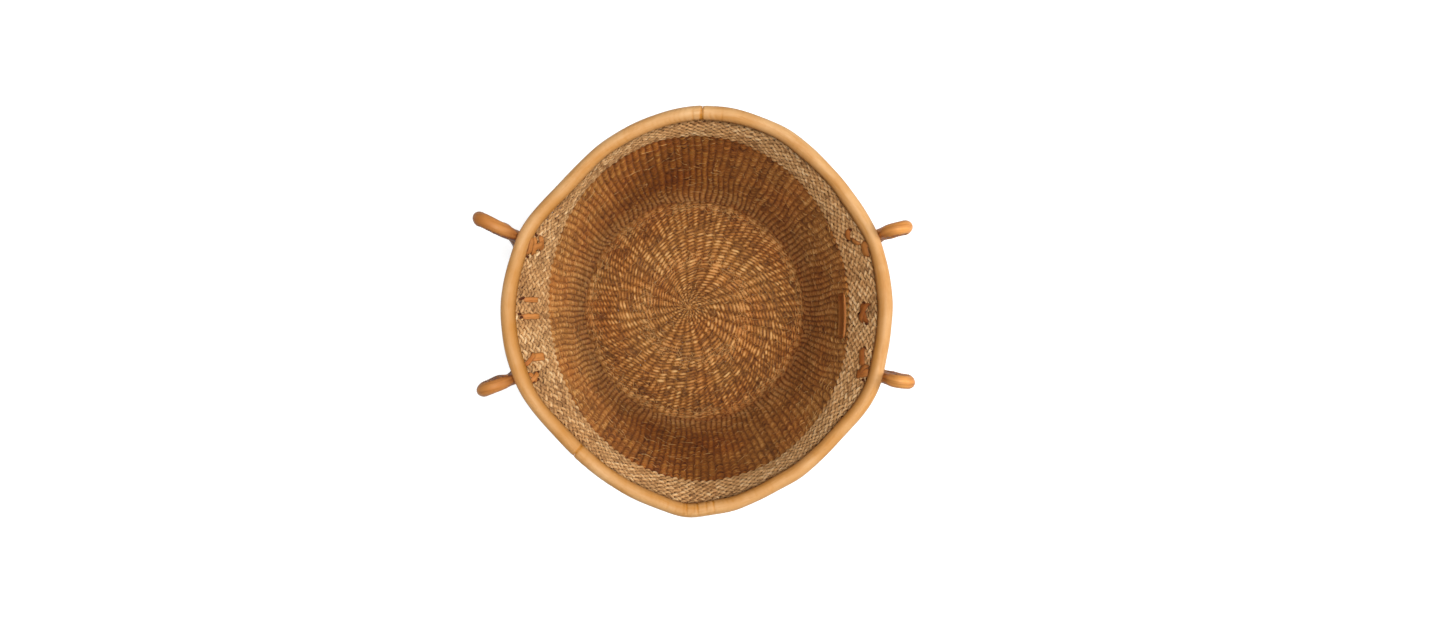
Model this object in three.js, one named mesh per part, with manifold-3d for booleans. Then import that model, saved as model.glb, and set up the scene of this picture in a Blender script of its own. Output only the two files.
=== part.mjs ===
// A market basket of twined sisal: a flat round base turned up into a flaring wall, a pale band
// below a leather-bound rim, and two rolled leather handles laced to the band with leather thongs.
// Millimetres, +Z up. The origin lies on the floor below the middle of the base. The handles hang
// on the -X and +X sides.
import * as THREE from "three";
import { mergeVertices } from "three/addons/utils/BufferGeometryUtils.js";
import Module from "manifold-3d";

const wasm = await Module();
wasm.setup();

// Woven body, measured at the middle of the weave
const WEAVE_THICKNESS = 6;
const BASE_FLAT_RADIUS = 112;
const CORNER_RADIUS = 22;
const RIM_HEIGHT = 268;
const RIM_RADIUS = 179.8;
const RIM_FLARE = 0.5;
const BAND_WIDTH = 43;
const BAND_SET_IN = 17.8;
const BAND_LINE_FLARE = 0.2;

// The soft body is round at the base, a slanting oval at the band line and a rounded diamond at the
// mouth. Both lie a little off the middle.
const BAND_LINE_OVAL = 11;
const BAND_LINE_SLANT = 2.2;
const BAND_LINE_SHIFT_X = 4;
const BAND_LINE_SHIFT_Y = 2;
const MOUTH_OVAL = 3.9;
const MOUTH_CORNERS = 3.9;
const MOUTH_SKEW = 1.5;
const MOUTH_LEAN = 9.7;
const MOUTH_SHIFT_X = 1.9;

// Rim: a cord hoop on the edge of the weave, wrapped in two strips of leather
const ROLL_RADIUS = 6.2;
const BINDING_LEATHER = 1.6;
const WEAVE_END_BELOW_ROLL = 2;
const BINDING_SEAM_ANGLES = [88, 230];

// Handles: a leather sheath rolled round a cord, with a flat tongue at each end
const HANDLE_RADIUS = 6;
const SHEATH_LEATHER = 1.6;
const BEND_FOOT_ABOVE_RIM = 3;
const BEND_RISE = 12;
const LEG_LENGTH = 100;
const LOOP_DEPTH = 85;
const LOOP_DRAWN_IN = 1;

// The soft legs hang askew: how far each one's root lies from the middle of the basket, and how
// far it spreads and stands out from the rim where it hangs
const LEFT_BACK_ROOT = 69;
const LEFT_FRONT_ROOT = 63;
const RIGHT_BACK_ROOT = 68.5;
const RIGHT_FRONT_ROOT = 60;
const LEFT_BACK_SPREAD = 17.6;
const LEFT_FRONT_SPREAD = 11.5;
const RIGHT_BACK_SPREAD = 10.5;
const RIGHT_FRONT_SPREAD = 7.8;
const LEFT_BACK_HANGS_OUT = 18.7;
const LEFT_FRONT_HANGS_OUT = 14.7;
const RIGHT_BACK_HANGS_OUT = 10.4;
const RIGHT_FRONT_HANGS_OUT = 11.4;
const HANDLES = [
  {
    name: "left",
    side: -1,
    back: { root: LEFT_BACK_ROOT, spread: LEFT_BACK_SPREAD, hangsOut: LEFT_BACK_HANGS_OUT },
    front: { root: LEFT_FRONT_ROOT, spread: LEFT_FRONT_SPREAD, hangsOut: LEFT_FRONT_HANGS_OUT },
  },
  {
    name: "right",
    side: 1,
    back: { root: RIGHT_BACK_ROOT, spread: RIGHT_BACK_SPREAD, hangsOut: RIGHT_BACK_HANGS_OUT },
    front: { root: RIGHT_FRONT_ROOT, spread: RIGHT_FRONT_SPREAD, hangsOut: RIGHT_FRONT_HANGS_OUT },
  },
];

// Flat tongue of a handle end, and the thong that laces it to the band
const TONGUE_THICKNESS = 3;
const TONGUE_HALF_WIDTH = 15;
const TONGUE_NECK_HALF_WIDTH = 7;
const TONGUE_ABOVE_LACING = 7;
const TONGUE_STRAIGHT_BELOW_LACING = 8;
const LACING_BELOW_RIM = 17;
const LACING_HALF_WIDTH = 9;
const LACING_HALF_HEIGHT = 5;
const THONG_RADIUS = 2;
const THONG_TURN_RADIUS = 2.8;
const THONG_TAIL = 5;
const THONG_SEAT = 0.45;

// Plain tie on the left side, knotted tie on the right side and the leather patch sewn below it
const TIE_BELOW_LACING = 4;
const TIE_HALF_WIDTH = 8.3;
const TIE_HALF_HEIGHT = 7;
const KNOT_HALF_WIDTH = 8;
const KNOT_HALF_HEIGHT = 3.2;
const KNOT_SHIFT_Y = -2.5;
const PATCH_SHIFT_Y = -6;
const PATCH_WIDTH = 50;
const PATCH_HEIGHT = 26;
const PATCH_CORNER = 4;
const PATCH_LEATHER = 1.8;
const PATCH_BELOW_BAND = 1;

const CLEARANCE = 0.3;

// Fineness of the facets
const ROUND_STEPS = 48;
const WALL_STEPS = 4;
const BAND_STEPS = 4;
const CORNER_STEPS = 4;
const TUBE_SIDES = 8;
const THONG_SIDES = 6;
const THONG_STEPS = 26;
const LOOP_STEPS = 28;
const BEND_STEPS = 8;
const NECK_STEPS = 6;
const OUTLINE_STEPS = 6;

const DEGREE = Math.PI / 180;
const CORNER_TOP = WEAVE_THICKNESS / 2 + CORNER_RADIUS;
const CORNER_TOP_RADIUS = BASE_FLAT_RADIUS + CORNER_RADIUS;
const BAND_LINE = RIM_HEIGHT - BAND_WIDTH;
const BAND_LINE_RADIUS = RIM_RADIUS - BAND_SET_IN;
const LACING_HEIGHT = RIM_HEIGHT - LACING_BELOW_RIM;
const HALF_WEAVE = WEAVE_THICKNESS / 2;
// A chord of the faceted wall stands this far inside the true round
const FACET_SAG = RIM_RADIUS * (1 - Math.cos(Math.PI / ROUND_STEPS));

const dyedSisal = { color: 0x8f5c31, roughness: 0.85, metalness: 0 };
const naturalSisal = { color: 0xb98f63, roughness: 0.85, metalness: 0 };
const rimLeather = { color: 0xe0a566, roughness: 0.5, metalness: 0 };
const handleLeather = { color: 0xd48f4c, roughness: 0.45, metalness: 0 };
const thongLeather = { color: 0xb8702f, roughness: 0.55, metalness: 0 };
const cord = { color: 0xcdb48a, roughness: 0.9, metalness: 0 };

// Mean radius of the wall at a height: two cubics that meet at the band line with one slope
function wallRadius(z) {
  const below = z < BAND_LINE;
  const [z0, z1] = below ? [CORNER_TOP, BAND_LINE] : [BAND_LINE, RIM_HEIGHT];
  const [r0, r1] = below ? [CORNER_TOP_RADIUS, BAND_LINE_RADIUS] : [BAND_LINE_RADIUS, RIM_RADIUS];
  const [s0, s1] = below ? [0, BAND_LINE_FLARE] : [BAND_LINE_FLARE, RIM_FLARE];
  const rise = z1 - z0;
  const curve = new THREE.CubicBezierCurve(
    new THREE.Vector2(r0, z0),
    new THREE.Vector2(r0 + (s0 * rise) / 3, z0 + rise / 3),
    new THREE.Vector2(r1 - (s1 * rise) / 3, z1 - rise / 3),
    new THREE.Vector2(r1, z1),
  );
  return curve.getPoint((z - z0) / rise).x;
}

// Outward normal of the mean wall at a height, as radius and height
function wallNormal(z) {
  const step = 0.5;
  const slope = (wallRadius(z) - wallRadius(z - step)) / step;
  return new THREE.Vector2(1, -slope).normalize();
}

// A point of the mean wall section, moved out by an offset from the middle of the weave
function wallSection(z, offset) {
  return new THREE.Vector2(wallRadius(z), z).addScaledVector(wallNormal(z), offset);
}

// How far the soft body stands out from its mean radius at an angle and a height
function bulge(angle, z) {
  const lower = THREE.MathUtils.smoothstep(z, CORNER_TOP, BAND_LINE);
  const upper = THREE.MathUtils.clamp((z - BAND_LINE) / BAND_WIDTH, 0, 1);
  const [cos, sin] = [Math.cos(angle), Math.sin(angle)];
  const [cosTwice, sinTwice] = [Math.cos(2 * angle), Math.sin(2 * angle)];
  const bandShift = BAND_LINE_SHIFT_X * cos + BAND_LINE_SHIFT_Y * sin;
  const bandLine = bandShift - BAND_LINE_OVAL * cosTwice - BAND_LINE_SLANT * sinTwice;
  const diamond = MOUTH_CORNERS * Math.cos(4 * angle) - MOUTH_OVAL * cosTwice + MOUTH_SKEW * sinTwice;
  const mouth = diamond + (MOUTH_SHIFT_X + MOUTH_LEAN * sin ** 2) * cos;
  return THREE.MathUtils.lerp(lower * bandLine, mouth, upper);
}

// A point beside the wall: an angle, a height of the mean wall and an offset from mid-weave
function wallPoint(angle, z, offset) {
  const section = wallSection(z, offset);
  const radius = section.x + bulge(angle, section.y);
  return new THREE.Vector3(radius * Math.cos(angle), radius * Math.sin(angle), section.y);
}

// A closed manifold solid from a three.js geometry
function toSolid(geometry) {
  const bare = new THREE.BufferGeometry();
  const loose = geometry.index ? geometry.toNonIndexed() : geometry;
  bare.setAttribute("position", loose.getAttribute("position"));
  const merged = mergeVertices(bare, 1e-3);
  const vertProperties = merged.getAttribute("position").array;
  const triVerts = new Uint32Array(merged.index.array);
  return new wasm.Manifold(new wasm.Mesh({ numProp: 3, vertProperties, triVerts }));
}

// A three.js geometry from a manifold solid
function toGeometry(solid) {
  const mesh = solid.getMesh();
  const geometry = new THREE.BufferGeometry();
  geometry.setAttribute("position", new THREE.BufferAttribute(mesh.vertProperties, 3));
  geometry.setIndex(new THREE.BufferAttribute(mesh.triVerts, 1));
  geometry.computeVertexNormals();
  return geometry;
}

// Turns a section of radius and height about the vertical axis and gives it the soft body's outline
function turned(section) {
  const geometry = new THREE.LatheGeometry(section, ROUND_STEPS);
  geometry.rotateX(Math.PI / 2);
  const position = geometry.getAttribute("position");
  for (let i = 0; i < position.count; i++) {
    const angle = Math.atan2(position.getY(i), position.getX(i));
    const radius = Math.hypot(position.getX(i), position.getY(i));
    const out = radius > BASE_FLAT_RADIUS ? bulge(angle, position.getZ(i)) : 0;
    position.setX(i, (radius + out) * Math.cos(angle));
    position.setY(i, (radius + out) * Math.sin(angle));
  }
  return geometry;
}

// A ring that follows the wall between two heights and two offsets from mid-weave
function wallLayer(fromHeight, toHeight, innerOffset, outerOffset, steps) {
  const heights = Array.from({ length: steps + 1 }, (_, i) => {
    return THREE.MathUtils.lerp(fromHeight, toHeight, i / steps);
  });
  const outer = heights.map((z) => wallSection(z, outerOffset));
  const inner = heights.map((z) => wallSection(z, innerOffset)).reverse();
  return turned([...outer, ...inner, outer[0]]);
}

// A regular polygon as a closed shape, for the sections of cords, thongs and handles
function roundSection(radius, sides) {
  const points = Array.from({ length: sides }, (_, i) => {
    const angle = (2 * Math.PI * i) / sides;
    return new THREE.Vector2(radius * Math.cos(angle), radius * Math.sin(angle));
  });
  return new THREE.Shape(points);
}

function tube(path, section, steps) {
  return new THREE.ExtrudeGeometry(section, { extrudePath: path, steps });
}

// The stretch of a path between two fractions of its length
class Stretch extends THREE.Curve {
  constructor(path, from, to) {
    super();
    this.path = path;
    this.from = from;
    this.to = to;
  }

  getPoint(t, target = new THREE.Vector3()) {
    return target.copy(this.path.getPointAt(THREE.MathUtils.lerp(this.from, this.to, t)));
  }
}

// Straight runs between the stops, with each inner stop rounded off
function roundedRoute(stops, turnRadius) {
  const route = new THREE.CurvePath();
  let from = stops[0];
  for (let i = 1; i < stops.length - 1; i++) {
    const reach = (end) => {
      const run = end.clone().sub(stops[i]);
      return stops[i].clone().addScaledVector(run.normalize(), turnRadius);
    };
    const into = reach(stops[i - 1]);
    const outOf = reach(stops[i + 1]);
    route.add(new THREE.LineCurve3(from, into));
    route.add(new THREE.QuadraticBezierCurve3(into, stops[i], outOf));
    from = outOf;
  }
  route.add(new THREE.LineCurve3(from, stops[stops.length - 1]));
  return route;
}

// A prism whose flat outline stands square to the wall at an angle: x along the wall, y up
function prismAt(outline, angle, height) {
  const block = { depth: RIM_RADIUS, curveSegments: OUTLINE_STEPS, bevelEnabled: false };
  const geometry = new THREE.ExtrudeGeometry(outline, block);
  const along = new THREE.Vector3(-Math.sin(angle), Math.cos(angle), 0);
  const up = new THREE.Vector3(0, 0, 1);
  const out = new THREE.Vector3(Math.cos(angle), Math.sin(angle), 0);
  geometry.applyMatrix4(new THREE.Matrix4().makeBasis(along, up, out));
  geometry.translate(out.x * (RIM_RADIUS / 2), out.y * (RIM_RADIUS / 2), height);
  return geometry;
}

// A thong's corners beside the wall. Each stop has a distance along the wall, a height above the
// lacing and an offset from mid-weave.
function thongCorners(angle, stops) {
  const radius = wallRadius(LACING_HEIGHT);
  return stops.map(([along, up, offset]) => {
    return wallPoint(angle + along / radius, LACING_HEIGHT + up, offset);
  });
}

// Two upright stitches on the inside of the wall, joined by one run on the outside, with two tails
function lacedStops(across, bottom, top, outerOffset) {
  const inside = -(HALF_WEAVE + FACET_SAG + THONG_SEAT + THONG_RADIUS);
  return [
    [-across, top + THONG_TAIL, outerOffset],
    [-across, top, outerOffset],
    [-across, top, inside],
    [-across, bottom, inside],
    [-across, bottom, outerOffset],
    [across, bottom, outerOffset],
    [across, bottom, inside],
    [across, top, inside],
    [across, top, outerOffset],
    [across, top + THONG_TAIL, outerOffset],
  ];
}

// Two stitches that cross on the inside of the wall, one over the other
function knottedStops(outerOffset) {
  const inside = -(HALF_WEAVE + FACET_SAG + THONG_SEAT + THONG_RADIUS);
  const over = inside - 2 * THONG_RADIUS - CLEARANCE;
  const [bottom, top] = [-KNOT_HALF_HEIGHT, KNOT_HALF_HEIGHT].map((up) => up - TIE_BELOW_LACING);
  const across = KNOT_HALF_WIDTH;
  return [
    [-across - THONG_TAIL, top, outerOffset],
    [-across, top, outerOffset],
    [-across, top, inside],
    [across, bottom, inside],
    [across, bottom, outerOffset],
    [-across, bottom, outerOffset],
    [-across, bottom, over],
    [across, top, over],
    [across, top, outerOffset],
    [across + THONG_TAIL, top, outerOffset],
  ];
}

function thong(angle, stops) {
  const route = roundedRoute(thongCorners(angle, stops), THONG_TURN_RADIUS);
  return tube(route, roundSection(THONG_RADIUS, THONG_SIDES), THONG_STEPS);
}

// The holes that a thong needs where it goes straight through from one stop to the next
function thongHoles(angle, stops) {
  const corners = thongCorners(angle, stops);
  const radius = (THONG_RADIUS + CLEARANCE) / Math.cos(Math.PI / THONG_SIDES);
  const section = roundSection(radius, THONG_SIDES);
  const goesThrough = (i) => i > 0 && Math.sign(stops[i][2]) !== Math.sign(stops[i - 1][2]);
  return corners.flatMap((corner, i) => {
    return goesThrough(i) ? [toSolid(tube(new THREE.LineCurve3(corners[i - 1], corner), section, 1))] : [];
  });
}

function pierced(solid, holes) {
  return holes.reduce((rest, hole) => rest.subtract(hole), solid);
}

// Sections of the rim, worked out across and along the leaning edge of the weave
const rimNormal = wallNormal(RIM_HEIGHT);
const rimAlong = new THREE.Vector2(-rimNormal.y, rimNormal.x);

function rimPoint(across, along) {
  const middle = new THREE.Vector2(RIM_RADIUS, RIM_HEIGHT);
  return middle.addScaledVector(rimNormal, across).addScaledVector(rimAlong, along);
}

function rimArc(radius, fromAngle, toAngle, steps) {
  return Array.from({ length: steps + 1 }, (_, i) => {
    const angle = THREE.MathUtils.lerp(fromAngle, toAngle, i / steps);
    return rimPoint(radius * Math.cos(angle), radius * Math.sin(angle));
  });
}

// Base: a flat disc whose edge turns up
function baseDisc() {
  const corner = (radius) => {
    return Array.from({ length: CORNER_STEPS + 1 }, (_, i) => {
      const angle = ((i / CORNER_STEPS) * Math.PI) / 2;
      const out = BASE_FLAT_RADIUS + radius * Math.sin(angle);
      return new THREE.Vector2(out, CORNER_TOP - radius * Math.cos(angle));
    });
  };
  const section = [
    new THREE.Vector2(0, 0),
    ...corner(CORNER_RADIUS + HALF_WEAVE),
    ...corner(CORNER_RADIUS - HALF_WEAVE).reverse(),
    new THREE.Vector2(0, WEAVE_THICKNESS),
  ];
  return turned(section);
}

// A ring beside the dyed wall, from the base's edge to the band line
function sideLayer(innerOffset, outerOffset) {
  return wallLayer(CORNER_TOP + CLEARANCE, BAND_LINE - CLEARANCE / 2, innerOffset, outerOffset, WALL_STEPS);
}

// A ring beside the band, from the band line to the edge of the weave inside the rim
function bandLayer(innerOffset, outerOffset) {
  const top = RIM_HEIGHT - WEAVE_END_BELOW_ROLL * rimAlong.y;
  return wallLayer(BAND_LINE + CLEARANCE / 2, top, innerOffset, outerOffset, BAND_STEPS);
}

// Band of undyed weave, pierced for the thongs
function paleBand(holes) {
  const ring = toSolid(bandLayer(-HALF_WEAVE, HALF_WEAVE));
  return toGeometry(pierced(ring, holes));
}

// Cord hoop with a flat underside that sits on the edge of the weave
function rimCore() {
  const radius = ROLL_RADIUS - BINDING_LEATHER - 2 * CLEARANCE;
  const seat = Math.asin((CLEARANCE - WEAVE_END_BELOW_ROLL) / radius);
  const section = rimArc(radius, seat, Math.PI - seat, TUBE_SIDES - 1);
  return turned([...section, section[0]]);
}

// Leather wrapped round the hoop, open below where the weave enters
function rimBinding() {
  const slit = HALF_WEAVE + CLEARANCE;
  const lip = (radius) => Math.asin(slit / radius) - Math.PI / 2;
  const inside = ROLL_RADIUS - BINDING_LEATHER;
  const outer = rimArc(ROLL_RADIUS, lip(ROLL_RADIUS), Math.PI - lip(ROLL_RADIUS), TUBE_SIDES + 1);
  const inner = rimArc(inside, lip(inside), Math.PI - lip(inside), TUBE_SIDES).reverse();
  return turned([...outer, ...inner, outer[0]]);
}

// One strip of the binding, between two seams
function bindingStrip(ring, fromAngle, toAngle) {
  const reach = 2 * RIM_RADIUS;
  const trim = CLEARANCE / 2 / RIM_RADIUS;
  const [start, end] = [fromAngle + trim, toAngle - trim];
  const wedge = new THREE.Shape();
  wedge.lineTo(reach * Math.cos(start), reach * Math.sin(start));
  wedge.absarc(0, 0, reach, start, end, false);
  wedge.closePath();
  const block = new THREE.ExtrudeGeometry(wedge, { depth: 2 * RIM_HEIGHT, bevelEnabled: false });
  return toGeometry(toSolid(ring).intersect(toSolid(block)));
}

// Flat tongue, broad and round below the lacing and narrow where the roll begins
function tongueOutline() {
  const outline = new THREE.Shape();
  outline.moveTo(TONGUE_NECK_HALF_WIDTH, TONGUE_ABOVE_LACING);
  outline.lineTo(-TONGUE_NECK_HALF_WIDTH, TONGUE_ABOVE_LACING);
  outline.lineTo(-TONGUE_HALF_WIDTH, 0);
  outline.lineTo(-TONGUE_HALF_WIDTH, -TONGUE_STRAIGHT_BELOW_LACING);
  outline.absarc(0, -TONGUE_STRAIGHT_BELOW_LACING, TONGUE_HALF_WIDTH, Math.PI, 2 * Math.PI, false);
  outline.lineTo(TONGUE_HALF_WIDTH, 0);
  outline.closePath();
  return outline;
}

const tongueBack = HALF_WEAVE + CLEARANCE + FACET_SAG / 2;
const tongueFace = tongueBack + TONGUE_THICKNESS;

// The laced end of a handle: the tongue, and the roll that leaves it to pass outside the rim
function handleEnd(angle, neck, holes) {
  const leather = toSolid(bandLayer(tongueBack, tongueFace));
  const tongue = leather.intersect(toSolid(prismAt(tongueOutline(), angle, LACING_HEIGHT)));
  const roll = toSolid(tube(neck, roundSection(HANDLE_RADIUS, TUBE_SIDES), NECK_STEPS));
  return toGeometry(pierced(tongue.add(roll), holes));
}

// The angle on one side of the basket for a distance across from its middle, taken at the rim
function rootAngle(side, across) {
  const angle = Math.asin(across / RIM_RADIUS);
  return side > 0 ? angle : Math.PI - angle;
}

// One leg's points, from the tongue up past the rim, over the bend and down to the loop
function legPoints(side, angle, hangsOut, tipAcross, loopAcross) {
  const onTongue = tongueBack + CLEARANCE + HANDLE_RADIUS;
  const besideRoll = ROLL_RADIUS + 2 * CLEARANCE + HANDLE_RADIUS;
  const rimOut = RIM_RADIUS + bulge(side > 0 ? 0 : Math.PI, RIM_HEIGHT) + ROLL_RADIUS;
  const top = RIM_HEIGHT + BEND_FOOT_ABOVE_RIM;
  const hang = side * (rimOut + hangsOut);
  const footOut = RIM_RADIUS + bulge(angle, RIM_HEIGHT) + besideRoll;
  const foot = new THREE.Vector3(footOut * Math.cos(angle), footOut * Math.sin(angle), top);
  const tip = new THREE.Vector3(hang, tipAcross, top);
  const bend = [0.25, 0.5, 0.75].map((part) => {
    const turn = part * Math.PI;
    const point = foot.clone().lerp(tip, (1 - Math.cos(turn)) / 2);
    return point.setZ(top + BEND_RISE * Math.sin(turn));
  });
  return [
    wallPoint(angle, LACING_HEIGHT, onTongue),
    wallPoint(angle, LACING_HEIGHT + TONGUE_ABOVE_LACING, onTongue + CLEARANCE),
    wallPoint(angle, RIM_HEIGHT, besideRoll),
    foot,
    ...bend,
    tip,
    new THREE.Vector3(hang, (tipAcross + loopAcross) / 2, top - LEG_LENGTH / 2),
    new THREE.Vector3(hang, loopAcross, top - LEG_LENGTH),
  ];
}

const FOOT_INDEX = 3;
const TIP_INDEX = 7;

// The whole run of a handle, from the tongue of its back leg to the tongue of its front leg
function handleRun({ side, back, front }) {
  const angles = [rootAngle(side, back.root), rootAngle(side, -front.root)];
  const legs = [back, front].map(({ root, spread, hangsOut }, i) => {
    const outward = i === 0 ? 1 : -1;
    const tip = outward * (root + spread);
    return legPoints(side, angles[i], hangsOut, tip, tip - outward * LOOP_DRAWN_IN);
  });
  const [from, to] = legs.map((leg) => leg[leg.length - 1]);
  const loop = [0.25, 0.5, 0.75].map((part) => {
    const turn = part * Math.PI;
    const point = from.clone().lerp(to, (1 - Math.cos(turn)) / 2);
    return point.setZ(from.z - LOOP_DEPTH * Math.sin(turn));
  });
  const points = [...legs[0], ...loop, ...legs[1].reverse()];
  const path = new THREE.CatmullRomCurve3(points, false, "centripetal");
  const finePerPoint = 20;
  path.arcLengthDivisions = (points.length - 1) * finePerPoint;
  const lengths = path.getLengths();
  const total = path.getLength();
  const last = points.length - 1;
  const share = (index) => lengths[index * finePerPoint] / total;
  const half = CLEARANCE / 2 / total;
  const ends = [FOOT_INDEX, TIP_INDEX, last - TIP_INDEX, last - FOOT_INDEX];
  const [foot, tip, farTip, farFoot] = ends.map(share);
  return {
    angles,
    necks: [new Stretch(path, 0, foot - half), new Stretch(path, farFoot + half, 1)],
    bends: [new Stretch(path, foot + half, tip - half), new Stretch(path, farTip + half, farFoot - half)],
    grip: new Stretch(path, tip + half, farTip - half),
  };
}

const basket = new THREE.Group();
basket.name = "sisal_market_basket";

function addPiece(group, name, geometry, finish) {
  const mesh = new THREE.Mesh(geometry, new THREE.MeshStandardMaterial(finish));
  mesh.name = name;
  group.add(mesh);
}

const wovenBody = new THREE.Group();
const rim = new THREE.Group();
const ties = new THREE.Group();
basket.add(wovenBody, rim, ties);

// Handles with their lacing, which pierces the band
const thongOnTongue = tongueFace + THONG_SEAT + THONG_RADIUS;
const bandHoles = [];
for (const handle of HANDLES) {
  const group = new THREE.Group();
  basket.add(group);
  const run = handleRun(handle);
  const solid = roundSection(HANDLE_RADIUS, TUBE_SIDES);
  const sheath = roundSection(HANDLE_RADIUS, TUBE_SIDES);
  sheath.holes.push(roundSection(HANDLE_RADIUS - SHEATH_LEATHER, TUBE_SIDES));
  const filling = roundSection(HANDLE_RADIUS - SHEATH_LEATHER - CLEARANCE, TUBE_SIDES);
  ["back", "front"].forEach((end, i) => {
    const stops = lacedStops(LACING_HALF_WIDTH, -LACING_HALF_HEIGHT, LACING_HALF_HEIGHT, thongOnTongue);
    const holes = thongHoles(run.angles[i], stops);
    bandHoles.push(...holes);
    const leg = `${handle.name}_${end}`;
    addPiece(group, `handle_${leg}_end`, handleEnd(run.angles[i], run.necks[i], holes), handleLeather);
    addPiece(group, `handle_${leg}_bend`, tube(run.bends[i], solid, BEND_STEPS), handleLeather);
    addPiece(ties, `lacing_${leg}`, thong(run.angles[i], stops), thongLeather);
  });
  addPiece(group, `handle_${handle.name}_grip`, tube(run.grip, sheath, LOOP_STEPS), handleLeather);
  addPiece(group, `handle_${handle.name}_core`, tube(run.grip, filling, LOOP_STEPS), cord);
}

// Ties midway between the legs of each handle
const thongOnWeave = HALF_WEAVE + THONG_SEAT + THONG_RADIUS;
const [tieBottom, tieTop] = [-TIE_HALF_HEIGHT, TIE_HALF_HEIGHT].map((up) => up - TIE_BELOW_LACING);
const leftTie = lacedStops(TIE_HALF_WIDTH, tieBottom, tieTop, thongOnWeave);
const rightTie = knottedStops(thongOnWeave);
const knotAngle = rootAngle(1, KNOT_SHIFT_Y);
bandHoles.push(...thongHoles(Math.PI, leftTie), ...thongHoles(knotAngle, rightTie));
addPiece(ties, "tie_left", thong(Math.PI, leftTie), thongLeather);
addPiece(ties, "tie_right", thong(knotAngle, rightTie), thongLeather);

addPiece(wovenBody, "base_disc", baseDisc(), dyedSisal);
addPiece(wovenBody, "side_wall", sideLayer(-HALF_WEAVE, HALF_WEAVE), dyedSisal);
addPiece(wovenBody, "pale_band", paleBand(bandHoles), naturalSisal);

addPiece(rim, "rim_core", rimCore(), cord);
const binding = rimBinding();
const [firstSeam, secondSeam] = BINDING_SEAM_ANGLES.map((angle) => angle * DEGREE);
const fullTurn = 2 * Math.PI;
addPiece(rim, "rim_binding_left", bindingStrip(binding, firstSeam, secondSeam), rimLeather);
addPiece(rim, "rim_binding_right", bindingStrip(binding, secondSeam, firstSeam + fullTurn), rimLeather);

// Bare leather patch on the inside of the right wall, just below the band
function innerPatch() {
  const top = BAND_LINE - PATCH_BELOW_BAND;
  const face = HALF_WEAVE + CLEARANCE;
  const leather = sideLayer(-face - PATCH_LEATHER, -face);
  const [w, h, c] = [PATCH_WIDTH / 2, PATCH_HEIGHT, PATCH_CORNER];
  const outline = new THREE.Shape();
  outline.absarc(w - c, -c, c, 0, Math.PI / 2, false);
  outline.absarc(c - w, -c, c, Math.PI / 2, Math.PI, false);
  outline.absarc(c - w, c - h, c, Math.PI, 1.5 * Math.PI, false);
  outline.absarc(w - c, c - h, c, 1.5 * Math.PI, fullTurn, false);
  outline.closePath();
  return toGeometry(toSolid(leather).intersect(toSolid(prismAt(outline, rootAngle(1, PATCH_SHIFT_Y), top))));
}

addPiece(rim, "inner_patch", innerPatch(), thongLeather);

export default basket;
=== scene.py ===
"""Sisal market basket: twined body, leather-bound rim, rolled handles and their lacing, in studio light."""

from __future__ import annotations

import logging
from dataclasses import dataclass, field
from enum import Enum
from functools import cached_property

import bpy
import numpy as np
from mathutils import Matrix, Vector

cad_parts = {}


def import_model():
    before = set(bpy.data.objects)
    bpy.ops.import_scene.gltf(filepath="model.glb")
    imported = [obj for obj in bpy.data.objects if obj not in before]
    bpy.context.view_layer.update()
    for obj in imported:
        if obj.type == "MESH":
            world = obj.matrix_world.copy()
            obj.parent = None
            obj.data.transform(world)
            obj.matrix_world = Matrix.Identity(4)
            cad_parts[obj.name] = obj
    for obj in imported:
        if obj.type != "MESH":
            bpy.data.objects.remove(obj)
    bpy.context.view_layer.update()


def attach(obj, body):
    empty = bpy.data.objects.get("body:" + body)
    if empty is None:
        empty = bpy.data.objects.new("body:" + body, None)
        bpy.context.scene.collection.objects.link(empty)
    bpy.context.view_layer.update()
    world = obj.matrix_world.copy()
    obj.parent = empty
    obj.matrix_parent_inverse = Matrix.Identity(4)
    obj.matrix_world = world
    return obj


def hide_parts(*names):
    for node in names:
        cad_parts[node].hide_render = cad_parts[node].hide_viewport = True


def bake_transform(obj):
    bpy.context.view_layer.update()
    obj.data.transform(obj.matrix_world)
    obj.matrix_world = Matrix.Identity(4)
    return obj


LOG = logging.getLogger("basket")
MM = 0.001
TURN = 2.0 * np.pi
Array = np.ndarray
Colour = tuple[float, float, float, float]
WHITE: Colour = (1.0, 1.0, 1.0, 1.0)
# Keeps the level part of a vector
LEVEL = np.array([1.0, 1.0, 0.0])
# Turns, within half a turn, where the handles' arches have their points
QUARTERS = np.pi * np.array([[0.25], [0.5], [0.75]])
# Divisor that brings a scaled sum of sines to about unit size
NOISE_PEAK = 1.4
# Radius of a three-strand cord between its strands, as a share of its full radius
CORD_VALLEY = 0.86
# Length of one turn in the lay of sewing thread
THREAD_LAY = 3.0 * MM


def srgb(red: int, green: int, blue: int) -> Colour:
    """Gives the linear colour, with full alpha, of an 8-bit sRGB one."""
    part = np.array([red, green, blue]) / 255.0
    linear = np.where(part <= 0.04045, part / 12.92, ((part + 0.055) / 1.055) ** 2.4)
    return (float(linear[0]), float(linear[1]), float(linear[2]), 1.0)


def smoothstep(value: Array | float, low: float, high: float) -> Array:
    """Rises smoothly from 0 at low to 1 at high, as 3t squared less 2t cubed."""
    t = np.clip((np.asarray(value) - low) / (high - low), 0.0, 1.0)
    return t * t * (3.0 - 2.0 * t)


def hump(value: Array | float, width: float) -> Array:
    """Bell curve that is 1 at 0 and falls off over a width."""
    return np.exp(-((np.asarray(value) / width) ** 2))


def unit(vectors: Array) -> Array:
    """Scales vectors on the last axis to length 1."""
    return vectors / np.maximum(np.linalg.norm(vectors, axis=-1, keepdims=True), 1e-12)


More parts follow.
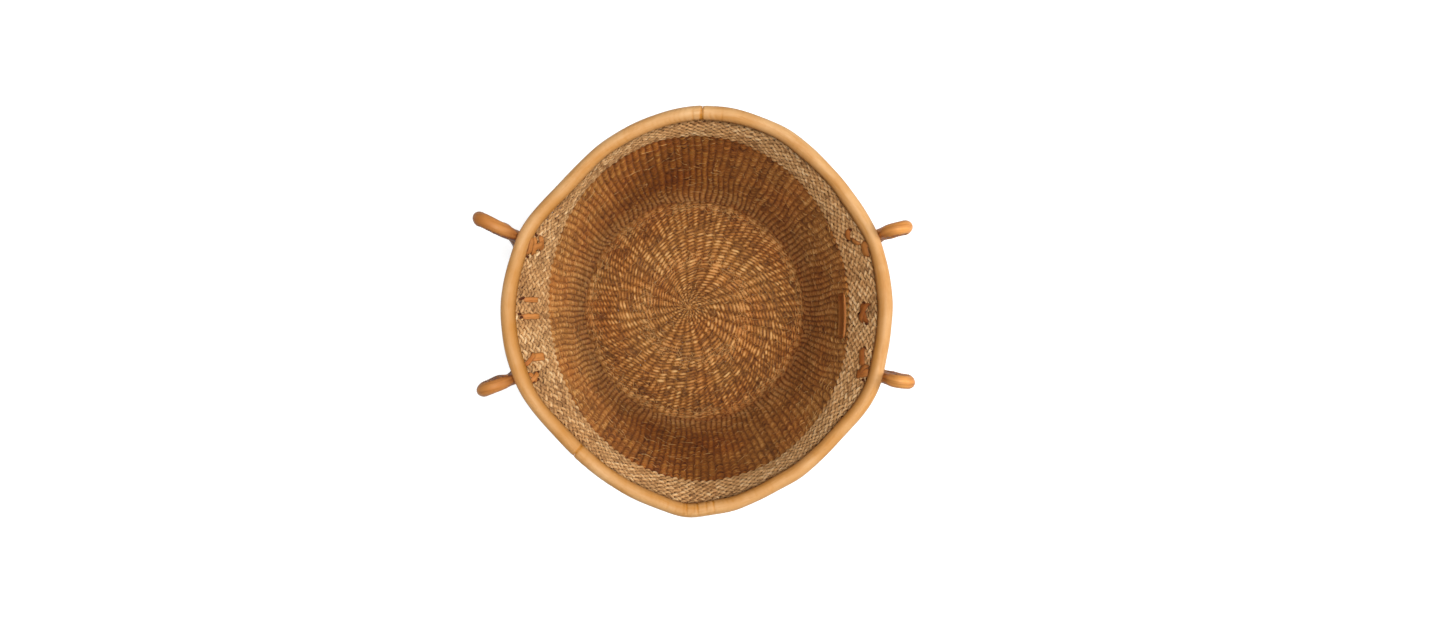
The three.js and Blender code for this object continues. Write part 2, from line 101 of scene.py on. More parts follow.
def wrap(value: Array | float, turn: float = TURN) -> Array:
    """Brings angles to within half a turn of 0."""
    return (value + turn / 2) % turn - turn / 2


def between(value: Array, rise: tuple[float, float], fall: tuple[float, float]) -> Array:
    """Rises smoothly from 0 to 1 over one range, and falls back to 0 over another."""
    return smoothstep(value, *rise) * (1.0 - smoothstep(value, *fall))


def even(value: float) -> Array:
    """One value for all of a sheaf's tubes, rings and sides."""
    return np.full((1, 1, 1), value)


def turned(reach: Array, angle: Array, height: Array) -> Array:
    """Points at a reach from the basket's upright axis, an angle round it and a height."""
    return np.stack(np.broadcast_arrays(reach * np.cos(angle), reach * np.sin(angle), height), axis=-1)


def sum_of_sines(turns: Array) -> Array:
    """Sum of the sines on the last axis, scaled to about unit size."""
    return np.sin(turns).sum(axis=-1) * np.sqrt(2.0 / turns.shape[-1]) / NOISE_PEAK


def waves(value: Array, seed: int, slow: float, fast: float, count: int = 6) -> Array:
    """Smooth noise of about unit size: a sum of sines with seeded rates and phases.

    Args:
        value: Where to read the noise.
        seed: Seed of the rates and phases.
        slow: Lowest number of waves in one unit of value.
        fast: Highest number of waves in one unit of value.
        count: Number of sines.

    Returns:
        The noise, in the shape of value.
    """
    rng = np.random.default_rng(seed)
    rates = TURN * rng.uniform(slow, fast, count)
    phases = rng.uniform(0.0, TURN, count)
    return sum_of_sines(np.asarray(value)[..., None] * rates + phases)


def drift(angle: Array, row: Array, seed: int, count: int = 8) -> Array:
    """Smooth noise of about unit size that joins round the basket and changes slowly from row to row.

    It is a sum of sines, each with 1 to 11 waves in a turn and a seeded change of phase of up to half a
    radian from one row to the next.

    Args:
        angle: Angle round the basket.
        row: Count of rows.
        seed: Seed of the waves.
        count: Number of sines.

    Returns:
        The noise, in the shape of angle.
    """
    rng = np.random.default_rng(seed)
    waves_round = rng.integers(1, 12, count)
    change = rng.uniform(-0.5, 0.5, count)
    phases = rng.uniform(0.0, TURN, count)
    return sum_of_sines(angle[..., None] * waves_round + np.asarray(row)[..., None] * change + phases)


def catmull_rom(points: Array, per_span: int) -> Array:
    """Centripetal Catmull-Rom curve through points, with straight continuations at its ends.

    Each span is the cubic whose end tangents come from the points' distances to the power one half.

    Args:
        points: Points on the curve, one in each row.
        per_span: Samples in each span.

    Returns:
        Samples along the curve, the last point among them.
    """
    ends = np.vstack([2 * points[0] - points[1], points, 2 * points[-1] - points[-2]])
    gap_shades = np.sqrt(np.linalg.norm(np.diff(ends, axis=0), axis=1))[:, None]
    before, after, beyond = gap_shades[:-2], gap_shades[1:-1], gap_shades[2:]
    p0, p1, p2, p3 = ends[:-3], ends[1:-2], ends[2:-1], ends[3:]
    leave = ((p1 - p0) / before - (p2 - p0) / (before + after) + (p2 - p1) / after) * after
    arrive = ((p2 - p1) / after - (p3 - p1) / (after + beyond) + (p3 - p2) / beyond) * after
    t = (np.arange(per_span) / per_span)[None, :, None]
    p1, p2, leave, arrive = p1[:, None], p2[:, None], leave[:, None], arrive[:, None]
    spans = (
        p1 * (2 * t**3 - 3 * t**2 + 1)
        + leave * (t**3 - 2 * t**2 + t)
        + p2 * (3 * t**2 - 2 * t**3)
        + arrive * (t**3 - t**2)
    )
    return np.vstack([spans.reshape(-1, 3), points[-1]])


def path_length(path: Array) -> Array:
    """Distance along paths from their first points, summed from chord to chord."""
    steps = np.linalg.norm(np.diff(path, axis=-2), axis=-1)
    return np.concatenate([np.zeros_like(steps[..., :1]), np.cumsum(steps, axis=-1)], axis=-1)


def sweep(path: Array, side: Array, across: Array, through: Array, heading: Array | None = None) -> Array:
    """Carries a section along paths.

    A section point lies at its across distance along the side direction, made square to the path, and at
    its through distance along the cross product of the path's direction and that side.

    Args:
        path: Paths, with rings and coordinates as the last two axes.
        side: Direction of the section's first axis at each ring.
        across: Distances along the first axis, rings by section points.
        through: Distances along the second axis, rings by section points.
        heading: Direction of the path at each ring, or nothing to take it from the path.

    Returns:
        Points, with rings, section points and coordinates as the last three axes.
    """
    tangent = unit(np.gradient(path, axis=-2) if heading is None else heading)
    first = unit(side - np.sum(side * tangent, axis=-1, keepdims=True) * tangent)
    second = np.cross(tangent, first)
    return (
        path[..., None, :]
        + across[..., None] * first[..., None, :]
        + through[..., None] * second[..., None, :]
    )


def round_section(sides: int) -> tuple[Array, Array, Array]:
    """Turn, cosine and sine of the points of a round section, one row each."""
    turn = np.arange(sides) * TURN / sides
    return turn, np.cos(turn), np.sin(turn)


def strip_section(sides: int, squareness: float) -> tuple[Array, Array]:
    """Unit section of a flat strip: a superellipse, boxier as squareness nears 0."""
    _, cos, sin = round_section(sides)
    return np.sign(cos) * np.abs(cos) ** squareness, np.sign(sin) * np.abs(sin) ** squareness


def cord_lobes(turn: Array, twist: Array) -> Array:
    """Radius of a three-strand cord as a share of its full one: three lobes that turn with the twist."""
    return CORD_VALLEY + (1.0 - CORD_VALLEY) * np.abs(np.cos(1.5 * (turn - twist)))


@dataclass
class Tubes:
    """A sheaf of tubes with equal counts, ready for a mesh.

    Attributes:
        points: Axes are tube, ring, side and coordinate.
        marks: Values for the finish by name, on tube, ring and side.
        lay: Length along one turn of the yarn's lay, or 0 for no lay.
        looped: True where the last ring joins the first, and otherwise flat caps close both ends.
    """

    points: Array
    marks: dict[str, Array] = field(default_factory=dict)
    lay: float = 0.0
    looped: bool = False

    def uv(self) -> Array:
        """UV of each ring and side: metres along the tube, and turns round it plus the yarn's lay."""
        sides = self.points.shape[2]
        middle = self.points.mean(axis=2)
        if self.looped:
            middle = np.concatenate([middle, middle[:, :1]], axis=1)
        along = np.broadcast_to(path_length(middle)[..., None], middle.shape[:2] + (sides + 1,))
        round_it = np.broadcast_to(np.arange(sides + 1) / sides, along.shape)
        twist = along / self.lay if self.lay else 0.0
        return np.stack([along, round_it + twist], axis=-1)

    def faces(self, first: int) -> tuple[Array, Array, Array, Array]:
        """Quads between neighbouring rings, and the caps, all facing out.

        Both are turned round where the volume that they enclose, summed over triangles from the origin,
        comes out negative.

        Args:
            first: Index of the sheaf's first vertex in its mesh.

        Returns:
            Quads, their UVs, caps, and the caps' UVs.
        """
        tubes, rings, sides, _ = self.points.shape
        index = np.arange(tubes * rings * sides).reshape(tubes, rings, sides)
        uv = self.uv()
        below = index if self.looped else index[:, :-1]
        above = np.roll(index, -1, axis=1) if self.looped else index[:, 1:]
        corners = [below, np.roll(below, -1, axis=2), np.roll(above, -1, axis=2), above]
        quads = np.stack(corners, axis=-1).reshape(-1, 4)
        corner_uv = [uv[:, :-1, :-1], uv[:, :-1, 1:], uv[:, 1:, 1:], uv[:, 1:, :-1]]
        quad_uv = np.stack(corner_uv, axis=3).reshape(-1, 4, 2)
        caps = np.empty((0, sides), dtype=int)
        cap_uv = np.empty((0, sides, 2))
        if not self.looped:
            caps = np.concatenate([index[:, 0, ::-1], index[:, -1]])
            cap_uv = np.concatenate([uv[:, 0, :-1][:, ::-1], uv[:, -1, :-1]])
        flat = self.points.reshape(-1, 3)
        fans = [quads[:, [0, 1, 2]], quads[:, [0, 2, 3]]]
        fans += [caps[:, [0, j, j + 1]] for j in range(1, sides - 1)]
        triangles = flat[np.concatenate(fans)]
        volume = np.einsum("ij,ij->", triangles[:, 0], np.cross(triangles[:, 1], triangles[:, 2]))
        if volume < 0.0:
            quads, quad_uv, caps, cap_uv = quads[:, ::-1], quad_uv[:, ::-1], caps[:, ::-1], cap_uv[:, ::-1]
        return quads + first, quad_uv, caps + first, cap_uv


def sewing_thread(path: Array, normal: Array, radius: float, tone: float) -> Tubes:
    """Sewing threads: a round section carried along paths, in one even tone.

    Args:
        path: Paths of the threads, one in each row.
        normal: Direction off the leather at each ring.
        radius: Radius of the thread.
        tone: Tone of the thread.

    Returns:
        One tube for each path.
    """
    _, cos, sin = round_section(5)
    thick = np.full((*path.shape[:2], 1), radius)
    return Tubes(sweep(path, normal, thick * cos, thick * sin), {"tone": even(tone)}, THREAD_LAY)


def make_piece(name: str, sheaves: list[Tubes], material: bpy.types.Material) -> bpy.types.Object:
    """Puts sheaves of tubes into one mesh object at the origin, smooth but for its sharp-edged caps.

    Args:
        name: Name of the piece.
        sheaves: Tubes of the piece.
        material: Finish of the piece.

    Returns:
        The new object.
    """
    first = 0
    loops, totals, uvs, smooth = [], [], [], []
    for sheaf in sheaves:
        quads, quad_uv, caps, cap_uv = sheaf.faces(first)
        loops += [quads.ravel(), caps.ravel()]
        totals += [np.full(len(quads), 4), np.full(len(caps), caps.shape[1])]
        smooth += [np.ones(len(quads), dtype=bool), np.zeros(len(caps), dtype=bool)]
        uvs += [quad_uv.reshape(-1, 2), cap_uv.reshape(-1, 2)]
        first += sheaf.points.size // 3
    corner, total, is_smooth = (np.concatenate(parts) for parts in (loops, totals, smooth))
    mesh = bpy.data.meshes.new(name)
    mesh.vertices.add(first)
    mesh.vertices.foreach_set("co", np.concatenate([s.points.ravel() for s in sheaves]).astype(np.float32))
    mesh.loops.add(len(corner))
    mesh.loops.foreach_set("vertex_index", corner.astype(np.int32))
    mesh.polygons.add(len(total))
    mesh.polygons.foreach_set("loop_start", (np.cumsum(total) - total).astype(np.int32))
    mesh.polygons.foreach_set("loop_total", total.astype(np.int32))
    mesh.polygons.foreach_set("use_smooth", is_smooth)
    mesh.update(calc_edges=True)
    edge = np.empty(len(corner), dtype=np.int32)
    mesh.loops.foreach_get("edge_index", edge)
    sharp = np.zeros(len(mesh.edges), dtype=bool)
    sharp[edge[~np.repeat(is_smooth, total)]] = True
    mesh.edges.foreach_set("use_edge_sharp", sharp)
    mesh.uv_layers.new(name="UVMap").uv.foreach_set("vector", np.concatenate(uvs).ravel().astype(np.float32))
    for mark in sheaves[0].marks:
        shades = [np.broadcast_to(s.marks[mark], s.points.shape[:3]).ravel() for s in sheaves]
        layer = mesh.attributes.new(mark, "FLOAT", "POINT")
        layer.data.foreach_set("value", np.concatenate(shades).astype(np.float32))
    mesh.materials.append(material)
    piece = bpy.data.objects.new(name, mesh)
    bpy.context.scene.collection.objects.link(piece)
    return piece


class NodeBench:
    """A material's node tree, with short calls that add nodes and join them."""

    def __init__(self, name: str) -> None:
        """Starts an empty tree for a new material."""
        self.material = bpy.data.materials.new(name)
        self.material.use_nodes = True
        self.tree = self.material.node_tree
        self.tree.nodes.clear()

    def add(self, kind: str, inputs: dict | None = None, **settings: object) -> bpy.types.Node:
        """Adds a node.

        Args:
            kind: Blender's name for the type of node.
            inputs: Values or sockets for its inputs, by name or index.
            settings: Values for its properties.

        Returns:
            The new node.
        """
        node = self.tree.nodes.new(kind)
        for name, value in settings.items():
            setattr(node, name, value)
        for name, value in (inputs or {}).items():
            if isinstance(value, bpy.types.NodeSocket):
                self.tree.links.new(value, node.inputs[name])
            else:
                node.inputs[name].default_value = value
        return node

    def math(self, operation: str, first: object, second: object = 0.0) -> bpy.types.NodeSocket:
        """Joins two numbers by an operation."""
        return self.add("ShaderNodeMath", {0: first, 1: second}, operation=operation).outputs[0]

    def weigh(self, value: object, share: object) -> bpy.types.NodeSocket:
        """Multiplies a number by a share."""
        return self.math("MULTIPLY", value, share)

    def mix(self, amount: object, first: object, second: object, blend: str = "MIX") -> bpy.types.NodeSocket:
        """Mixes two colours by an amount."""
        inputs = {0: amount, 6: first, 7: second}
        return self.add("ShaderNodeMix", inputs, data_type="RGBA", blend_type=blend).outputs[2]

    def spread(self, value: object, low: float, high: float) -> bpy.types.NodeSocket:
        """Maps 0 to 1 onto a range."""
        return self.add("ShaderNodeMapRange", {"Value": value, "To Min": low, "To Max": high}).outputs[0]

    def stretch(self, value: object, low: float, high: float) -> bpy.types.NodeSocket:
        """Maps a range onto 0 to 1."""
        return self.add("ShaderNodeMapRange", {"Value": value, "From Min": low, "From Max": high}).outputs[0]

    def noise(
        self, place: object, scale: float, detail: float = 3.0, roughness: float = 0.5
    ) -> bpy.types.NodeSocket:
        """Cloudy noise at a scale."""
        inputs = {"Vector": place, "Scale": scale, "Detail": detail, "Roughness": roughness}
        return self.add("ShaderNodeTexNoise", inputs).outputs["Fac"]

    def drawn_noise(self, along: float, round_it: float) -> bpy.types.NodeSocket:
        """Noise on the UV map, drawn out into streaks along a tube: features in one metre and in one turn."""
        uv = self.add("ShaderNodeUVMap").outputs["UV"]
        drawn = self.add("ShaderNodeMapping", {"Vector": uv, "Scale": (along, round_it, 1.0)}).outputs[0]
        return self.noise(drawn, 1.0, 3.0, 0.6)

    def mark(self, name: str) -> bpy.types.NodeSocket:
        """Reads a value that the mesh carries."""
        return self.add("ShaderNodeAttribute", attribute_name=name).outputs["Fac"]

    def ramp(self, value: object, stops: list[tuple[float, Colour]]) -> bpy.types.NodeSocket:
        """Colours along a ramp, in order, at their places."""
        node = self.add("ShaderNodeValToRGB", {"Fac": value})
        while len(node.color_ramp.elements) < len(stops):
            node.color_ramp.elements.new(1.0)
        for element, (place, colour) in zip(node.color_ramp.elements, stops):
            element.position = place
            element.color = colour
        return node.outputs["Color"]

    def finish(self, shader: bpy.types.NodeSocket) -> bpy.types.Material:
        """Joins the shader to the output and gives the material."""
        self.add("ShaderNodeOutputMaterial", {"Surface": shader})
        return self.material

    def raised(self, sockets: dict, height: object, strength: float, depth: float) -> bpy.types.Material:
        """Gives the material a principled shader whose normal follows a height.

        Args:
            sockets: Values or sockets for the shader's inputs, by name.
            height: Height of the surface, about 0 to 1.
            strength: Strength of the bump.
            depth: Distance that a height of 1 stands for.

        Returns:
            The finished material.
        """
        bump = self.add("ShaderNodeBump", {"Height": height, "Strength": strength, "Distance": depth})
        shader = self.add("ShaderNodeBsdfPrincipled", {**sockets, "Normal": bump.outputs[0]})
        return self.finish(shader.outputs[0])


@dataclass(frozen=True)
class SisalFinish:
    """Twisted sisal yarn: fine fibres along the lay, a tone for each stitch and patches dyed otherwise.

    Attributes:
        name: Name of the material.
        dark: Colour at the lowest tone, which the painted shade in the gaps between stitches reaches.
        middle: Colour of most of the yarn.
        pale: Colour of the lit fibres.
        patch: Tint of the patches that are dyed otherwise.
        gloss: Roughness of the yarn.
        deep: Tint where the mesh marks painted shade, deeper and more saturated.
        streaks: Fibres in a metre of yarn and in a turn round it.
        scales: Specks and patches in a metre.
        shares: Weights of the streaks, the specks and the mesh's tone in the colour.
        stops: Places of the three colours in the ramp.
        patched: Strength of the patches.
        bump: Strength and depth of the bump along the fibres.
    """

    name: str
    dark: Colour
    middle: Colour
    pale: Colour
    patch: Colour
    gloss: float
    deep: Colour = (0.62, 0.46, 0.22, 1.0)
    streaks: tuple[float, float] = (130.0, 22.0)
    scales: tuple[float, float] = (300.0, 22.0)
    shares: tuple[float, float, float] = (0.2, 0.24, 0.66)
    stops: tuple[float, float, float] = (0.12, 0.54, 0.94)
    patched: float = 0.7
    bump: tuple[float, float] = (0.5, 0.35 * MM)

    def material(self) -> bpy.types.Material:
        """Streaks of noise drawn out along the UV's lay, mixed with the stitch tone and cloudy patches."""
        bench = NodeBench(self.name)
        place = bench.add("ShaderNodeTexCoord").outputs["Object"]
        streak = bench.stretch(bench.drawn_noise(*self.streaks), 0.3, 0.7)
        speck = bench.stretch(bench.noise(place, self.scales[0], 2.0), 0.3, 0.7)
        cloud = bench.stretch(bench.noise(place, self.scales[1], 3.0), 0.42, 0.68)
        # The tone mark carries painted shade in the gaps and at row edges, beside the stitches' own tones
        values = (streak, speck, bench.mark("tone"))
        fibres, grain, tone = (bench.weigh(value, share) for value, share in zip(values, self.shares))
        level = bench.math("ADD", bench.math("ADD", fibres, grain), tone)
        yarn = bench.ramp(level, list(zip(self.stops, (self.dark, self.middle, self.pale))))
        tinted = bench.mix(1.0, yarn, self.patch, "MULTIPLY")
        dyed = bench.mix(bench.weigh(cloud, self.patched), yarn, tinted)
        # Painted shade: a deeper, more saturated tint where the mesh marks it
        dyed = bench.mix(bench.mark("deep"), dyed, bench.mix(1.0, dyed, self.deep, "MULTIPLY"))
        sockets = {
            "Base Color": dyed,
            "Roughness": bench.spread(streak, self.gloss + 0.15, self.gloss - 0.1),
            "Specular IOR Level": 0.35,
            "Sheen Weight": 0.05,
            "Sheen Roughness": 0.4,
        }
        return bench.raised(sockets, streak, *self.bump)


@dataclass(frozen=True)
class LeatherFinish:
    """Vegetable-tanned leather: uneven tan, fine grain, lengthwise creases and dark edges.

    Attributes:
        name: Name of the material.
        tan: Main colour.
        deep: Colour of the darker clouds.
        crease: Colour at cut edges, and where the mesh marks painted shade in creases, seams and on shaded
            sides.
        gloss: Roughness of the grain side.
        streaks: Strength of the creases along the piece.
        scales: Clouds, specks, lumps of grain and pores in a metre.
        creases: Creases in a metre along the piece and in a turn round it.
        bump: Strength and depth of the grain.
    """

    name: str
    tan: Colour
    deep: Colour
    crease: Colour
    gloss: float
    streaks: float
    scales: tuple[float, float, float, float] = (34.0, 420.0, 260.0, 900.0)
    creases: tuple[float, float] = (26.0, 11.0)
    bump: tuple[float, float] = (0.35, 0.4 * MM)

    def material(self) -> bpy.types.Material:
        """Two tans in clouds, specks of grain, streaks, and the crease colour where a shade is marked."""
        bench = NodeBench(self.name)
        clouds, specks, lumps, pores = self.scales
        place = bench.add("ShaderNodeTexCoord").outputs["Object"]
        cloud = bench.stretch(bench.noise(place, clouds, 4.0), 0.35, 0.7)
        speck = bench.stretch(bench.noise(place, specks, 4.0, 0.65), 0.5, 0.8)
        streak = bench.stretch(bench.drawn_noise(*self.creases), 0.48, 0.72)
        pore = bench.add("ShaderNodeTexVoronoi", {"Vector": place, "Scale": pores}).outputs["Distance"]
        tan = bench.mix(cloud, self.tan, self.deep)
        grained = bench.mix(bench.weigh(speck, 0.35), tan, self.deep)
        creased = bench.mix(bench.weigh(streak, self.streaks), grained, self.crease)
        # The shade mark: painted shade in creases, seams and on shaded sides, besides dark cut edges
        shaded = bench.mix(bench.mark("shade"), creased, self.crease)
        grain = bench.math("ADD", bench.weigh(pore, 0.5), bench.noise(place, lumps, 4.0))
        height = bench.math("SUBTRACT", grain, bench.weigh(streak, 0.8))
        sockets = {
            "Base Color": shaded,
            "Roughness": bench.spread(cloud, self.gloss, self.gloss + 0.12),
            "Specular IOR Level": 0.22,
        }
        return bench.raised(sockets, height, *self.bump)


class Finish(Enum):
    """The basket's finishes. Each is named as its slot in the record."""

    DYED_SISAL = SisalFinish(
        "dyed_sisal", srgb(88, 46, 14), srgb(200, 136, 66), srgb(252, 204, 132), (1.0, 0.8, 0.6, 1.0), 0.65
    )
    NATURAL_SISAL = SisalFinish(
        "natural_sisal",
        srgb(122, 78, 38),
        srgb(205, 157, 101),
        srgb(240, 206, 156),
        (1.0, 0.88, 0.74, 1.0),
        0.65,
    )
    RIM_LEATHER = LeatherFinish(
        "rim_leather", srgb(220, 174, 120), srgb(204, 150, 90), srgb(184, 114, 14), 0.5, 0.45
    )
    HANDLE_LEATHER = LeatherFinish(
        "handle_leather", srgb(231, 161, 86), srgb(210, 134, 64), srgb(112, 54, 20), 0.45, 0.5
    )
    THONG_LEATHER = LeatherFinish(
        "thong_leather", srgb(210, 138, 70), srgb(178, 102, 44), srgb(84, 40, 14), 0.55, 0.35
    )
    CORD = SisalFinish(
        "cord", srgb(140, 110, 76), srgb(205, 180, 138), srgb(232, 212, 178), (1.0, 0.9, 0.8, 1.0), 0.7
    )

    def material(self) -> bpy.types.Material:
        """Gives the finish's material, which is made once."""
        name = self.value.name + "_finish"
        if name not in bpy.data.materials:
            self.value.material().name = name
        return bpy.data.materials[name]


def fit_piece(name: str, sheaves: list[Tubes], finish: Finish, body: str, *nodes: str) -> bpy.types.Object:
    """Makes a piece, gives it its finish and slot, and lets it ride on a body.

    Args:
        name: Name of the piece.
        sheaves: Tubes of the piece.
        finish: Its finish.
        body: The body that it moves with, or an empty name to leave it on no body.
        nodes: CAD nodes that it stands for.

    Returns:
        The new object.
    """
    piece = make_piece(name, sheaves, finish.material())
    if body:
        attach(piece, body)
    if nodes:
        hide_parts(*nodes)
    LOG.info("%s: %d faces", name, len(piece.data.polygons))
    return piece


@dataclass(frozen=True)
class BodyShape:
    """Mid-weave surface of the basket: a flat base, a rounded corner, a wall and a flaring, soft mouth."""

    weave: float = 6.0 * MM
    flat_radius: float = 112.0 * MM
    corner_radius: float = 22.0 * MM
    rim_height: float = 268.0 * MM
    rim_radius: float = 179.8 * MM
    rim_flare: float = 0.5
    band_width: float = 43.0 * MM
    band_radius: float = 162.0 * MM
    band_flare: float = 0.2
    band_oval: float = 11.0 * MM
    band_slant: float = 2.2 * MM
    band_shift: tuple[float, float] = (4.0 * MM, 2.0 * MM)
    mouth_oval: float = 3.9 * MM
    mouth_corners: float = 3.9 * MM
    mouth_skew: float = 1.5 * MM
    mouth_lean: float = 9.7 * MM
    mouth_shift: float = 1.9 * MM
    soft_corners: tuple[tuple[float, float, float], ...] = (
        (22.0, 8.0, 1.5 * MM),
        (62.0, 6.0, 1.0 * MM),
        (120.0, 9.0, 1.8 * MM),
        (153.0, 10.0, 3.6 * MM),
        (207.0, 9.0, 2.4 * MM),
        (267.0, 6.0, 3.3 * MM),
        (293.0, 9.0, -2.6 * MM),
        (334.0, 11.0, 5.2 * MM),
    )
    heart_reach: float = 63.0 * MM
    heart_off: tuple[float, float, float] = (-8.0 * MM, 4.3 * MM, 0.0)
    samples: tuple[int, int, int] = (60, 40, 400)

    @property
    def corner_top(self) -> float:
        """Height where the corner ends and the wall begins."""
        return self.weave / 2 + self.corner_radius

    @property
    def band_line(self) -> float:
        """Height where the dyed weave ends and the undyed band begins."""
        return self.rim_height - self.band_width

    def wall_radius(self, height: Array | float) -> Array:
        """Mean radius of the wall: two Bezier cubics in height that meet at the band line with one slope."""
        height = np.asarray(height, dtype=float)
        low = height < self.band_line
        z0 = np.where(low, self.corner_top, self.band_line)
        z1 = np.where(low, self.band_line, self.rim_height)
        r0 = np.where(low, self.flat_radius + self.corner_radius, self.band_radius)
        r3 = np.where(low, self.band_radius, self.rim_radius)
        rise = z1 - z0
        r1 = r0 + np.where(low, 0.0, self.band_flare) * rise / 3
        r2 = r3 - np.where(low, self.band_flare, self.rim_flare) * rise / 3
        t = (height - z0) / rise
        return r0 * (1 - t) ** 3 + 3 * r1 * t * (1 - t) ** 2 + 3 * r2 * t**2 * (1 - t) + r3 * t**3

    def bulge(self, angle: Array | float, height: Array | float) -> Array:
        """How far the soft body stands out: a slanting oval at the band, a rounded diamond at the mouth.

        The mouth also has soft corners, bells round an angle, where the leather holds the weave out or in.
        """
        lower = smoothstep(height, self.corner_top, self.band_line)
        upper = np.clip((np.asarray(height) - self.band_line) / self.band_width, 0.0, 1.0)
        cos, sin, cos_twice, sin_twice = np.cos(angle), np.sin(angle), np.cos(2 * angle), np.sin(2 * angle)
        shift = self.band_shift[0] * cos + self.band_shift[1] * sin
        band = shift - self.band_oval * cos_twice - self.band_slant * sin_twice
        diamond = self.mouth_corners * np.cos(4 * angle) - self.mouth_oval * cos_twice
        diamond = diamond + self.mouth_skew * sin_twice
        mouth = diamond + (self.mouth_shift + self.mouth_lean * sin**2) * cos
        for degrees, width, size in self.soft_corners:
            mouth = mouth + size * hump(wrap(np.degrees(angle) - degrees, 360.0), width)
        return lower * band * (1 - upper) + mouth * upper

    @cached_property
    def profile(self) -> dict[str, Array]:
        """Mid-weave profile by its length from the middle of the base: radius, height and outward normal."""
        on_flat, on_corner, on_wall = self.samples
        flat = np.linspace(0.0, self.flat_radius, on_flat)
        turn = np.linspace(0.0, np.pi / 2, on_corner)[1:]
        heights = np.linspace(self.corner_top, self.rim_height, on_wall)[1:]
        corner = self.corner_radius * np.array([np.sin(turn), -np.cos(turn)])
        radius = np.concatenate([flat, self.flat_radius + corner[0], self.wall_radius(heights)])
        height = np.concatenate([np.full(on_flat, self.weave / 2), self.corner_top + corner[1], heights])
        length = path_length(np.stack([radius, height], axis=-1))
        slope_r, slope_z = np.gradient(radius, length), np.gradient(height, length)
        size = np.hypot(slope_r, slope_z)
        normal = {"out": slope_z / size, "down": -slope_r / size}
        return {"length": length, "radius": radius, "height": height, **normal}

    def length_at(self, height: float) -> float:
        """Profile length of a height on the wall."""
        keep = self.profile["length"] > self.flat_radius
        return float(np.interp(height, self.profile["height"][keep], self.profile["length"][keep]))

    def place(self, length: Array, angle: Array, out: Array) -> Array:
        """Points beside the weave.

        A point is the profile's radius and height at its length, moved out along the normal, then stood
        out by the bulge and turned to its angle. Near the middle the rings are drawn off centre, and the
        floor flattens what would lie below it.

        Args:
            length: Profile length from the middle of the base.
            angle: Angle round the basket.
            out: Offset from mid-weave, positive to the outside.

        Returns:
            Points, with coordinates on a new last axis.
        """
        read = {key: np.interp(length, self.profile["length"], value) for key, value in self.profile.items()}
        height = np.maximum(read["height"] + read["down"] * out, 0.0)
        radius = np.maximum(read["radius"] + read["out"] * out, 0.0) + self.bulge(angle, height)
        drawn = 1.0 - smoothstep(length, 0.0, self.heart_reach)
        return turned(radius, angle, height) + drawn[..., None] * np.array(self.heart_off)

    def wall_point(self, angle: Array, height: Array, out: Array) -> Array:
        """Points beside the wall, by the height of the mean wall instead of the length."""
        step = 0.5 * MM
        radius = self.wall_radius(height)
        slope = (radius - self.wall_radius(np.asarray(height) - step)) / step
        size = np.hypot(1.0, slope)
        top = height - slope / size * out
        return turned(radius + out / size + self.bulge(angle, top), angle, top)


@dataclass(frozen=True)
class TwiningZone:
    """Rows of twining that share a count of stitches.

    Attributes:
        stitches: Stitches in one turn.
        turns: Whole turns of the spiral.
        start: Profile length where it begins.
        end: Profile length where it ends.
        per_stitch: Rings of the mesh in each stitch.
        gap_shades: Painted shade between columns: the tone there at the start and the end, as shares of the
            tone on the stitches.
        undyed: True where the yarn is undyed and the slant of the stitches changes from row to row.
        stagger: Shift of the stitches from row to row, in stitches.
    """

    stitches: int
    turns: int
    start: float
    end: float
    per_stitch: int = 4
    gap_shades: tuple[float, float] = (0.25, 0.25)
    undyed: bool = False
    stagger: float = 0.0


